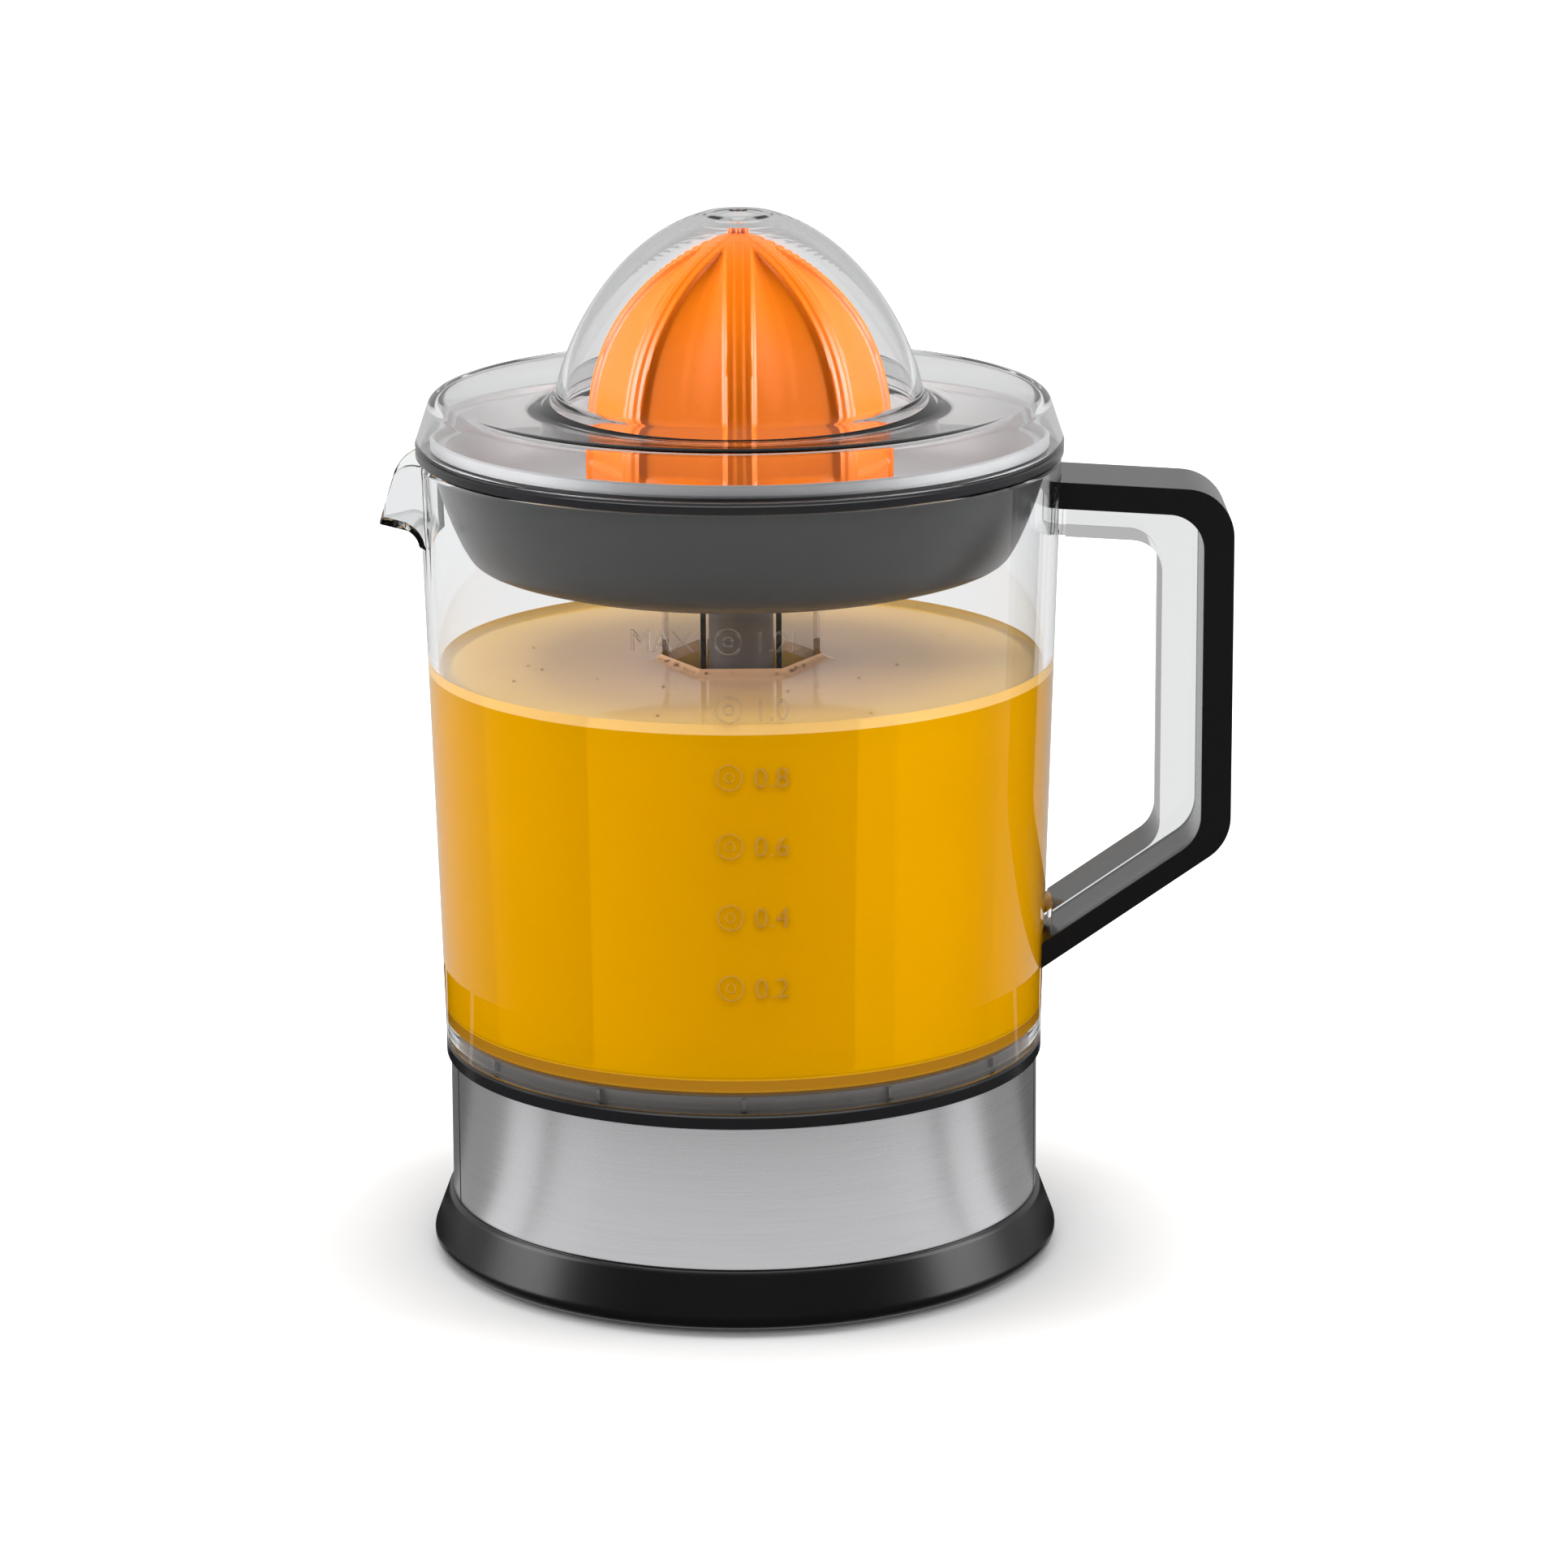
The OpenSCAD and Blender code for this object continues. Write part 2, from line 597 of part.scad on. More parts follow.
// Points of one ring of the spring's wire at the angle a
function wire_ring(a, n, z) = [for (j = [0:n - 1]) let (b = 360 * j / n)
    [(spring_r + spring_wire_r * cos(b)) * cos(a), (spring_r + spring_wire_r * cos(b)) * sin(a),
     z + spring_wire_r * sin(b)]];

module return_spring() color("silver") {
    sides = 8;
    steps = 20 * spring_turns;
    z0 = plate_z1 + spring_wire_r + fit_gap;
    z1 = plunger_flange_z0 - spring_wire_r - fit_gap;
    points = [for (i = [0:steps]) each wire_ring(360 * spring_turns * i / steps, sides,
                                                 z0 + (z1 - z0) * i / steps)];
    walls = [for (i = [0:steps - 1]) for (j = [0:sides - 1]) let (k = (j + 1) % sides)
        [i * sides + j, (i + 1) * sides + j, (i + 1) * sides + k, i * sides + k]];
    ends = [[for (j = [0:sides - 1]) j], [for (j = [sides - 1:-1:0]) steps * sides + j]];
    polyhedron(points, concat(walls, ends), convexity = 12);
}

module microswitch() color("black") difference() {
    translate([-switch_size[0] / 2, -switch_size[1] / 2, plate_z1]) cube(switch_size);
    rod(button_r + run_gap, plate_z1 + 2, switch_z1 + cut);
}

module switch_button() color("red") rod(button_r, plate_z1 + 4, switch_z1 + button_out);

// Solid of the spout, drawn in by t; its top is open where open is true
module spout_solid(t, open) {
    tip_x = jug_r1 + spout_reach;
    tip_z = rim_z - spout_drop;
    fillet = spout_reach - 0.9;
    wall_x = jug_r(tip_z - fillet);
    centre = [-wall_x - fillet, tip_z - fillet];
    knee = [-jug_r1 - spout_reach / 2, rim_z - 1.1];
    top = open ? [[-tip_x - cut, rim_z + 9], [-tip_x - cut, tip_z + t]]
               : concat(corner([-jug_r0, rim_z], knee, [-tip_x, tip_z], spout_round), [[-tip_x, tip_z]]);
    intersection() {
        // Side view: the cheeks' upper edge, the lip and the rounded underside
        rotate([90, 0, 0]) linear_extrude(2 * spout_w, center = true) polygon(concat(
            [[8 - jug_r1, open ? rim_z + 9 : rim_z]], top, arc(centre, fillet + t, 90, 0),
            [[8 - jug_r1, centre[1]]]
        ));
        // Plan: two cheeks that close in on a rounded nose
        translate([0, 0, rim_z - 60]) linear_extrude(80) polygon(concat(
            [[8 - jug_r1, spout_w / 2 - t], [2 - jug_r1, spout_w / 2 - t]],
            arc([spout_tip_r - tip_x, 0], spout_tip_r - t, 130, 230),
            [[2 - jug_r1, t - spout_w / 2], [8 - jug_r1, t - spout_w / 2]]
        ));
    }
}

// Cone along the jug's outer wall, larger by grow, that runs on past both of its ends
module jug_body(grow) translate([0, 0, jug_z0 - jug_h / 4])
    cylinder(r1 = jug_r(jug_z0 - jug_h / 4) + grow, r2 = jug_r(rim_z + jug_h / 4) + grow,
             h = 1.5 * jug_h);

// Bar of the handle, w wide, between two lines with their corner radii top and low
module handle_bar(t0, round0, t1, round1, w) rotate([90, 0, 0]) linear_extrude(w, center = true)
    polygon(concat(handle_run(t0, round0[0], round0[1]),
                   reversed(handle_run(t1, round1[0], round1[1]))));

grip_t = [grip_top_t, grip_side_t, grip_foot_t];
frame_in_t = grip_t + [frame_top_t, frame_side_t, frame_foot_t];
grip_round = [handle_round, handle_round];
grip_in_round = [handle_round - 3, handle_round - 1.5];
frame_in_round = grip_in_round - [1, 2];

module frame_bar(w)
    handle_bar(grip_t + fit_gap * [1, 1, 1], grip_in_round, frame_in_t, frame_in_round, w);

module jug() color("lightblue", 0.4) difference() {
    union() {
        rotate_extrude() polygon(concat(
            [[jug_r0 - jug_wall, jug_z0], [jug_r0, jug_z0], [jug_r1, rim_z], [rim_in_r, rim_z]],
            arc([jug_r(floor_z1) - jug_wall - floor_round, floor_z1 + floor_round], floor_round, 0, -90),
            [[0, floor_z1], [0, floor_z0], [jug_r(floor_z0) - jug_wall, floor_z0]]
        ));
        translate([0, 0, floor_z0]) cylinder(r = column_r, h = hex_z - floor_z0, $fn = 6);
        rod(spigot_r1, hex_z - cut, spigot_z);
        difference() {
            union() {
                spout_solid(0, false);
                intersection() {
                    frame_bar(frame_w - 3);
                    jug_body(pad_t);
                }
            }
            jug_body(-jug_wall / 2);
        }
    }
    translate([0, 0, floor_z0 - cut])
        cylinder(r = column_r - column_wall / cos(30), h = hex_z - floor_z0 - 2 + cut, $fn = 6);
    rod(spigot_r0, hex_z - 3, spigot_z + cut);
    spout_solid(spout_t, true);
}

module handle_frame() color("lightblue", 0.4) difference() {
    frame_bar(frame_w);
    jug_body(pad_t + fit_gap);
}

module handle_grip() color("black") difference() {
    handle_bar([0, 0, 0], grip_round, grip_t, grip_in_round, grip_w);
    jug_body(fit_gap);
}

module collector() color("dimgray") {
    wall = [neck_r, neck_r - 1.7, neck_r - 2.9, neck_r - 4.9, neck_r - 7.1, neck_r - 9.6];
    drop = [0, 6.3, 10, 15.2, 19.8, 22.8];
    last = len(wall) - 1;
    z = [for (d = drop) rim_z - d * bowl_depth / 25];
    difference() {
        union() {
            rotate_extrude() polygon(concat(
                [[0, bowl_z0], [bowl_floor_r, bowl_z0]],
                [for (i = [last:-1:0]) [wall[i], z[i]]],
                [[neck_r, flange_z0], [jug_r1 + flange_over, flange_z0],
                 [jug_r1 + flange_over, flange_z1], [neck_r - bowl_t - 0.4, flange_z1]],
                [for (i = [0:last]) [wall[i] - bowl_t - 0.4, z[i]]],
                [[bowl_floor_r, bowl_z1], [0, bowl_z1]]
            ));
            rod(chimney_r1, bowl_z0, chimney_z);
        }
        rod(chimney_r0, bowl_z0 - cut, chimney_z - chimney_cap_t);
        rod(sleeve_r + free_gap, bowl_z0, chimney_z + cut);
        at_dirs(column_r + 3, [for (i = [0:drain_count - 1]) 90 + 360 * i / drain_count])
            translate([0, -2.2, bowl_z0 - cut]) cube([drain_l, 4.4, bowl_t + 2 * cut]);
    }
}

module strainer() color("silver") {
    foot = [dish_r, dish_z1];
    brim = [brim_r, brim_z + strainer_t];
    up = brim - foot;
    under = foot + strainer_t * right_of(up);
    foot_under = meet(under, up, [0, dish_z0], [1, 0]);
    brim_under = meet(under, up, [0, brim_z], [1, 0]);
    difference() {
        rotate_extrude() polygon(concat(
            [[coupler_r + run_gap, dish_z0]],
            corner([hub_r, dish_z0], foot_under, brim_under, dish_round + strainer_t),
            [brim_under, [lip_r, brim_z], [lip_r, lip_z], [lip_r - strainer_t, lip_z],
             [lip_r - strainer_t, brim_z + strainer_t], brim],
            reversed(corner([hub_r, dish_z1], foot, brim, dish_round)),
            [[hub_r, dish_z1], [hub_r, hub_z], [coupler_r + run_gap, hub_z]]
        ));
        at_dirs(cone_r + 2.2, [for (i = [0:slot_count - 1]) 360 * i / slot_count])
            translate([0, -slot_w / 2, dish_z0 - cut]) cube([slot_l, slot_w, strainer_t + 2 * cut]);
    }
}

module cone_coupler() color("dimgray") difference() {
    union() {
        rod(coupler_r, coupler_z0, coupler_z1);
        rod(coupler_flange_r, coupler_flange_z, coupler_z1);
    }
    hex_rod(socket_af, coupler_z0 - cut, coupler_z1 + cut);
}

// Solid of revolution under the cone's profile, drawn in by d
module cone_solid(d, h, steps) rotate_extrude() polygon(concat(
    [[0, cone_z0]],
    [for (i = [0:steps - 1]) [max(0.5, cone_profile_r(i / steps, cone_r) - d), cone_z0 + h * i / steps]],
    [[0, cone_z0 + h]]
));

module reamer_cone() color("darkorange") {
    cavity_share = 0.78;
    cavity_z = cone_z0 + cone_h * cavity_share;
    shell_in = flute_d + cone_wall;
    boss_z = coupler_z1 + press_travel + 0.3;
    difference() {
        union() {
            cone_solid(flute_d, cone_h - 1, 24);
            intersection() {
                cone_solid(0, cone_h, 24);
                for (i = [0:rib_count / 2 - 1]) rotate(90 + 360 * i / rib_count)
                    translate([-cone_r, -rib_w / 2, cone_z0]) cube([2 * cone_r, rib_w, cone_h]);
            }
        }
        rotate_extrude() polygon(concat(
            [[0, cone_z0 - cut], [cone_r - shell_in, cone_z0 - cut]],
            [for (i = [0:12]) let (t = cavity_share * i / 12)
                [cone_profile_r(t, cone_r) - shell_in, cone_z0 + cone_h * t]],
            [[0, cavity_z]]
        ));
    }
    rod(coupler_r - 0.5, boss_z, cavity_z + 0.5);
    hex_rod(head_af, shank_z0, boss_z + 0.5);
}

module dust_cover() color("lightblue", 0.3) difference() {
    dome_in_h = dome_h - cover_t;
    steps = 16;
    rotate_extrude() polygon(concat(
        [[cover_r, cover_z0]],
        corner([cover_r, cover_z0], [cover_r - cover_lean - 0.9, shoulder_z],
               [dome_r + 5, ring_z], shoulder_r),
        [[dome_r + 4.5, ring_z], [dome_r + 2, ring_z + 0.4], [dome_r + 0.2, ring_z + 1.7]],
        [for (i = [1:steps]) let (t = pow(i / steps, 0.8) * 0.92 + 0.08)
            [dome_profile_r(t, dome_r), ring_z + dome_h * t]],
        [for (i = [steps:-1:0]) let (t = pow(i / steps, 0.8))
            [dome_profile_r(t, dome_r - cover_t), ring_z + dome_in_h * t]],
        [[dome_r - cover_t + 0.6, ring_z - cover_t + 0.4], [dome_r + 1.5, ring_z - cover_t]],
        reversed(corner([cover_r - cover_t, cover_z0],
                        [cover_r - cover_t - cover_lean - 0.9, shoulder_z - cover_t],
                        [dome_r + 5, ring_z - cover_t], 1)),
        [[cover_r - cover_t, cover_z0]]
    ));
    // Shallow round recess at the top of the dome
    rod(3.6, ring_z + dome_h - 0.5, ring_z + dome_h + cut);
}

rubber_feet();
bottom_plate();
lower_housing();
steel_band();
upper_housing();
cord_gland();
base_screws();
gear_frame();
frame_screws();
motor_screws();
motor_can();
motor_magnets();
motor_rotor();
motor_pinion();
compound_axle();
compound_gear();
output_gear();
drive_shaft();
shaft_sleeve();
drive_head();
lower_bush();
upper_bush();
shaft_seal();
plunger();
return_spring();
microswitch();
switch_button();
jug();
handle_frame();
handle_grip();
collector();
strainer();
cone_coupler();
reamer_cone();
dust_cover();
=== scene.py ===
"""Citrus press juicer: looks, camera and light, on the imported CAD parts."""
import bpy
import bmesh
import math
import random
from mathutils import Matrix, Vector


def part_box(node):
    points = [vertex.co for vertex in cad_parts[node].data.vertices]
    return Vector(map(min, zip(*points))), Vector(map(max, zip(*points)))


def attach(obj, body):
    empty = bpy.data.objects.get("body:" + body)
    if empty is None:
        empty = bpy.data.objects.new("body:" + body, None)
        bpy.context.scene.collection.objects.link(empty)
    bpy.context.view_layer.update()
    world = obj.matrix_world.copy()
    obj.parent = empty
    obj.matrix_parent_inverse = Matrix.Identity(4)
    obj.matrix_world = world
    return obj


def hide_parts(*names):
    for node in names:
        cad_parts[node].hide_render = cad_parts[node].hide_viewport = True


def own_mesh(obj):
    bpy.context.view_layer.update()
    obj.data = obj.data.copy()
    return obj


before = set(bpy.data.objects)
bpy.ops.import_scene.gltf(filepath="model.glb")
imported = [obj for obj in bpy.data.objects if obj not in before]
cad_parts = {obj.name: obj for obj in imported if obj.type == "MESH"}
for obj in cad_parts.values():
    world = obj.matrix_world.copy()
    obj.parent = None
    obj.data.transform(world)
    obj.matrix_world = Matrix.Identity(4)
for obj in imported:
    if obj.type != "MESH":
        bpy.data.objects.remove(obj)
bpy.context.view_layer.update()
MM = 0.001
rnd = random.Random(7)
scene = bpy.context.scene


# ---------------------------------------------------------------- materials
def material(name, color, rough, metal=0.0, noise=0.04, scale=60.0, bump=0.0, stretch=(1, 1, 1),
             rough_var=0.03, **sockets):
    m = bpy.data.materials.new(name)
    m.use_nodes = True
    nt = m.node_tree
    b = nt.nodes["Principled BSDF"]
    co = nt.nodes.new("ShaderNodeTexCoord")
    mp = nt.nodes.new("ShaderNodeMapping")
    mp.inputs["Scale"].default_value = stretch
    tx = nt.nodes.new("ShaderNodeTexNoise")
    tx.inputs["Scale"].default_value = scale
    tx.inputs["Detail"].default_value = 4
    nt.links.new(co.outputs["Object"], mp.inputs["Vector"])
    nt.links.new(mp.outputs["Vector"], tx.inputs["Vector"])
    ramp = nt.nodes.new("ShaderNodeValToRGB")
    e = ramp.color_ramp.elements
    e[0].position, e[1].position = 0.3, 0.7
    e[0].color = [c * (1 - noise) for c in color] + [1]
    e[1].color = [min(1, c * (1 + noise)) for c in color] + [1]
    nt.links.new(tx.outputs["Fac"], ramp.inputs["Fac"])
    nt.links.new(ramp.outputs["Color"], b.inputs["Base Color"])
    if rough_var:
        r = nt.nodes.new("ShaderNodeMapRange")
        r.inputs["To Min"].default_value = max(0, rough - rough_var)
        r.inputs["To Max"].default_value = rough + rough_var
        nt.links.new(tx.outputs["Fac"], r.inputs["Value"])
        nt.links.new(r.outputs["Result"], b.inputs["Roughness"])
    else:
        b.inputs["Roughness"].default_value = rough
    b.inputs["Metallic"].default_value = metal
    if bump:
        bm = nt.nodes.new("ShaderNodeBump")
        bm.inputs["Strength"].default_value = bump
        bm.inputs["Distance"].default_value = 0.0002
        nt.links.new(tx.outputs["Fac"], bm.inputs["Height"])
        nt.links.new(bm.outputs["Normal"], b.inputs["Normal"])
    for k, v in sockets.items():
        b.inputs[k.replace("_", " ")].default_value = v
    return m


def clear(name, ior, tint=(0.97, 0.975, 0.98)):
    return material(name, tint, 0.0, noise=0.004, scale=20, rough_var=0,
                    Transmission_Weight=1.0, IOR=ior)


M = {
    "foot": material("Foot black", (0.005, 0.005, 0.0052), 0.3, bump=0.05, scale=900),
    "black": material("Gloss black", (0.008, 0.008, 0.009), 0.2),
    "grip": material("Grip black", (0.006, 0.006, 0.0065), 0.22, bump=0.04, scale=900),
    "rubber": material("Rubber", (0.02, 0.02, 0.02), 0.7, bump=0.1, scale=500),
    "deck": material("Deck black", (0.012, 0.012, 0.013), 0.25),
    "band": material("Brushed band", (0.48, 0.48, 0.49), 0.28, 1.0, noise=0.05, scale=1.0,
                     stretch=(40, 40, 4500), rough_var=0.03, bump=0.04),
    "steel": material("Steel", (0.6, 0.6, 0.61), 0.25, 1.0),
    "dish": material("Dish steel", (0.6, 0.6, 0.61), 0.38, 0.85, rough_var=0.02),
    "bowl": material("Bowl grey", (0.029, 0.029, 0.03), 0.34),
    "flange": material("Flange black", (0.01, 0.01, 0.011), 0.22),
    "cone": material("Cone orange", (0.76, 0.16, 0.001), 0.32, noise=0.03, rough_var=0.02,
                     Subsurface_Weight=0.15, Subsurface_Scale=0.004, Specular_IOR_Level=0.7),
    "jug": clear("Clear jug", 1.3, (0.93, 0.935, 0.94)),
    "cover": clear("Clear cover", 1.4, (0.9, 0.905, 0.91)),
    "frame": clear("Clear handle frame", 1.35, (0.8, 0.805, 0.81)),
    "core": material("Sleeve grey", (0.16, 0.135, 0.125), 0.5),
    "plastic": material("Gear plastic", (0.75, 0.72, 0.62), 0.45),
    "brass": material("Brass", (0.7, 0.5, 0.2), 0.3, 1.0),
    "bronze": material("Bronze", (0.5, 0.33, 0.16), 0.4, 1.0),
    "copper": material("Copper", (0.7, 0.35, 0.2), 0.4, 1.0),
    "magnet": material("Magnet", (0.06, 0.06, 0.065), 0.5, 0.4),
    "red": material("Red button", (0.6, 0.02, 0.02), 0.4),
    "juice": material("Juice", (0.74, 0.36, 0.0), 0.5, noise=0.02, scale=25, Specular_IOR_Level=0.0),
    "juice_top": material("Juice surface", (0.92, 0.53, 0.28), 0.05, noise=0.02, scale=25,
                          rough_var=0.02, Specular_IOR_Level=0.3),
    # the juice's lowest faces glow: a painted glow that lightens the bottom edge of the juice where it lies in
    # shade
    "juice_bottom_glow": material("Juice bottom painted glow", (0.74, 0.36, 0.0), 0.5, noise=0.02, scale=25, Specular_IOR_Level=0.0,
                          Emission_Color=(0.8, 0.4, 0.03, 1), Emission_Strength=0.4),
    "bubble": clear("Bubbles", 1.2, (1.0, 0.93, 0.8)),
    "mark": clear("Moulded marks", 1.35, (0.88, 0.86, 0.84)),
    "seam": material("Seam", (0.004, 0.004, 0.004), 0.5),
}


def by_radius(m, r0, r1, inside, outside):
    """Base colour that changes between two distances from the product's axis."""
    nt = m.node_tree
    co = nt.nodes.new("ShaderNodeTexCoord")
    flat = nt.nodes.new("ShaderNodeVectorMath")
    flat.operation = "MULTIPLY"
    flat.inputs[1].default_value = (1, 1, 0)
    dist = nt.nodes.new("ShaderNodeVectorMath")
    dist.operation = "LENGTH"
    part = nt.nodes.new("ShaderNodeMapRange")
    part.inputs["From Min"].default_value, part.inputs["From Max"].default_value = r0, r1
    mix = nt.nodes.new("ShaderNodeMix")
    mix.data_type = "RGBA"
    mix.inputs[6].default_value, mix.inputs[7].default_value = (*inside, 1), (*outside, 1)
    nt.links.new(co.outputs["Object"], flat.inputs[0])
    nt.links.new(flat.outputs["Vector"], dist.inputs[0])
    nt.links.new(dist.outputs["Value"], part.inputs["Value"])
    nt.links.new(part.outputs["Result"], mix.inputs["Factor"])
    nt.links.new(mix.outputs[2], nt.nodes["Principled BSDF"].inputs["Base Color"])


# the deck is glossy black at its rim; where the jug's skirt covers it, it is painted a lighter grey, painted
# light that stands in for the light seen there through the jug
by_radius(M["deck"], 0.0655, 0.0662, (0.14, 0.14, 0.143), (0.009, 0.009, 0.01))
# the juice's surface is paler round the column
by_radius(M["juice_top"], 0.018, 0.062, (0.96, 0.56, 0.32), (0.97, 0.6, 0.18))
CAD = {
    "rubber": ["rubber_feet", "shaft_seal"],
    "foot": ["bottom_plate", "cord_gland", "microswitch"],
    "deck": ["upper_housing"],
    "steel": ["base_screws", "frame_screws", "motor_screws", "motor_can", "gear_frame",
              "compound_axle", "drive_shaft"],
    "magnet": ["motor_magnets"], "copper": ["motor_rotor"], "brass": ["motor_pinion"],
    "plastic": ["compound_gear", "output_gear", "plunger"],
    "bronze": ["lower_bush", "upper_bush"],
    "core": ["shaft_sleeve", "drive_head", "cone_coupler"], "red": ["switch_button"],
}
for key, names in CAD.items():
    for n in names:
        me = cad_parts[n].data
        me.materials.clear()
        me.materials.append(M[key])


# ------------------------------------------------------------------- meshes
def obj_from(name, verts, faces, mat, body, smooth=40.0, weighted=True):
    me = bpy.data.meshes.new(name)
    me.from_pydata([Vector(v) * MM for v in verts], [], faces)
    return finish_mesh(name, me, mat, body, smooth, weighted)


def finish_mesh(name, me, mat, body, smooth=40.0, weighted=True):
    o = bpy.data.objects.new(name, me)
    scene.collection.objects.link(o)
    bm = bmesh.new()
    bm.from_mesh(me)
    bmesh.ops.remove_doubles(bm, verts=bm.verts, dist=2e-6)
    bmesh.ops.recalc_face_normals(bm, faces=bm.faces)
    lim = math.radians(smooth)
    for f in bm.faces:
        f.smooth = True
    for e in bm.edges:
        e.smooth = len(e.link_faces) == 2 and e.calc_face_angle(0) < lim
    bm.to_mesh(me)
    bm.free()
    me.materials.clear()
    for m in (mat if isinstance(mat, list) else [mat]):
        me.materials.append(M[m])
    if body:
        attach(o, body)
    if weighted:
        wn = o.modifiers.new("normals", "WEIGHTED_NORMAL")
        wn.mode, wn.weight, wn.keep_sharp = "FACE_AREA", 100, True
    return o


def fillet(points, radii, steps=6):
    """Closed outline with its corners rounded; radii maps a point's index to a radius."""
    out, n = [], len(points)
    for i, p in enumerate(points):
        r = radii.get(i, 0)
        p = Vector(p)
        if not r:
            out.append(tuple(p))
            continue
        a, b = Vector(points[i - 1]) - p, Vector(points[(i + 1) % n]) - p
        la, lb = a.length, b.length
        a.normalize(), b.normalize()
        half = a.angle(b) / 2
        t = min(r / math.tan(half), la * 0.49, lb * 0.49)
        r = t * math.tan(half)
        c = p + (a + b).normalized() * r / math.sin(half)
        s, e = p + a * t - c, p + b * t - c
        turn = s.angle_signed(e)
        for k in range(steps + 1):
            v = s.copy()
            v.rotate(Matrix.Rotation(-turn * k / steps, 2))
            out.append(tuple(c + v))
    return out


def dense(profile, step=9.0, edge=0.3):
    """The outline with more points along its long straight runs, so that shading stays flat."""
    out, n = [], len(profile)
    for i, p in enumerate(profile):
        q = profile[(i + 1) % n]
        d = math.dist(p, q)
        out.append(p)
        if d > 4 * edge and max(p[0], q[0]) > 1:
            k = max(1, math.ceil((d - 2 * edge) / step))
            for t in [edge / d + (1 - 2 * edge / d) * j / k for j in range(k + 1)]:
                out.append((p[0] + (q[0] - p[0]) * t, p[1] + (q[1] - p[1]) * t))
    return out


def lathe_data(profile, segs=256):
    profile = dense(profile)
    verts, faces, rings = [], [], []
    for r, z in profile:
        if r < 1e-6:
            rings.append([len(verts)] * segs)
            verts.append((0, 0, z))
        else:
            rings.append(list(range(len(verts), len(verts) + segs)))
            verts += [(r * math.cos(2 * math.pi * k / segs), r * math.sin(2 * math.pi * k / segs), z)
                      for k in range(segs)]
    n = len(rings)
    for i in range(n):
        a, b = rings[i], rings[(i + 1) % n]
        if a[0] == a[1] and b[0] == b[1]:
            continue
        for k in range(segs):
            j = (k + 1) % segs
            f = [a[k], a[j], b[j], b[k]]
            f = [v for i2, v in enumerate(f) if v not in f[:i2]]
            if len(f) > 2:
                faces.append(f)
    return verts, faces


def raw(verts, faces):
    me = bpy.data.meshes.new("raw")
    me.from_pydata([Vector(v) * MM for v in verts], [], faces)
    bm = bmesh.new()
    bm.from_mesh(me)
    bmesh.ops.remove_doubles(bm, verts=bm.verts, dist=1e-7)
    bmesh.ops.recalc_face_normals(bm, faces=bm.faces)
    bm.to_mesh(me)
    bm.free()
    o = bpy.data.objects.new("raw", me)
    scene.collection.objects.link(o)
    return o


def prism(outline, h0, h1, plane="xy"):
    """Prism of a closed outline; plane xz runs it along Y."""
    n = len(outline)
    if plane == "xy":
        v = [(x, y, h0) for x, y in outline] + [(x, y, h1) for x, y in outline]
    else:
        v = [(x, h0, y) for x, y in outline] + [(x, h1, y) for x, y in outline]
    f = [list(range(n)), list(range(2 * n - 1, n - 1, -1))]
    f += [[i, (i + 1) % n, n + (i + 1) % n, n + i] for i in range(n)]
    return raw(v, f)


def boolean(a, b, op):
    m = a.modifiers.new("b", "BOOLEAN")
    m.object, m.operation, m.solver = b, op, "EXACT"
    bpy.context.view_layer.update()
    me = bpy.data.meshes.new_from_object(a.evaluated_get(bpy.context.evaluated_depsgraph_get()))
    a.modifiers.clear()
    a.data = me
    bpy.data.objects.remove(b)
    return a


def take(o):
    me = o.data
    bpy.data.objects.remove(o)
    return me


def bevelled(o, width, segments=3, angle=30):
    m = o.modifiers.new("v", "BEVEL")
    m.width, m.segments, m.limit_method = width * MM, segments, "ANGLE"
    m.angle_limit = math.radians(angle)
    m.harden_normals = False
    bpy.context.view_layer.update()
    me = bpy.data.meshes.new_from_object(o.evaluated_get(bpy.context.evaluated_depsgraph_get()))
    o.modifiers.clear()
    o.data = me
    return o


def lathe(name, profile, mat, body, segs=256, smooth=35.0):
    o = raw(*lathe_data(profile, segs))
    return finish_mesh(name, take(o), mat, body, smooth)


def arc(c, r, a0, a1, n=16):
    return [(c[0] + r * math.cos(math.radians(a0 + (a1 - a0) * i / n)),
             c[1] + r * math.sin(math.radians(a0 + (a1 - a0) * i / n))) for i in range(n + 1)]


# --------------------------------------------------------- measured from CAD
def span(node):
    lo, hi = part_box(node)
    return [v / MM for v in lo], [v / MM for v in hi]


band_lo, band_hi = span("steel_band")
foot_lo, foot_hi = span("lower_housing")
jug_lo, jug_hi = span("jug")
col_lo, col_hi = span("collector")
dish_lo, dish_hi = span("strainer")
cone_lo, cone_hi = span("reamer_cone")
lid_lo, lid_hi = span("dust_cover")
grip_lo, grip_hi = span("handle_grip")
spring_lo, spring_hi = span("return_spring")

band_r = band_hi[0]
flare_r = foot_hi[0]
z0, rim = jug_lo[2], jug_hi[2]
r0, r1 = 67.0, jug_hi[1]
wall = 2.2


def jug_r(z):
    return r0 + (r1 - r0) * (z - z0) / (rim - z0)


# --------------------------------------------------------------------- base
shell1, shell0 = band_r - 0.65, band_r - 3.05
foot_top = band_lo[2]
prof = [(65.6, 1.5)] + arc((flare_r - 2.5, 4.0), 2.5, -88, 19, 14) + \
    [(band_r + 1.1, foot_top - 0.75), (band_r + 0.7, foot_top - 0.15), (band_r + 0.4, foot_top - 0.03),
     (shell1, foot_top - 0.05), (shell1, band_hi[2]), (shell0, band_hi[2]), (shell0, 13.0), (65.6, 8.0)]
foot = raw(*lathe_data(prof, 256))
hole = raw(*lathe_data([(0, 50), (4.45, 50), (4.45, 80), (0, 80)], 64))
hole.data.transform(Matrix.Translation((0, 0, 9.25 * MM)) @ Matrix.Rotation(math.radians(-90), 4, "X"))
boolean(foot, hole, "DIFFERENCE")
foot = finish_mesh("foot_housing", take(foot), "foot", "base")
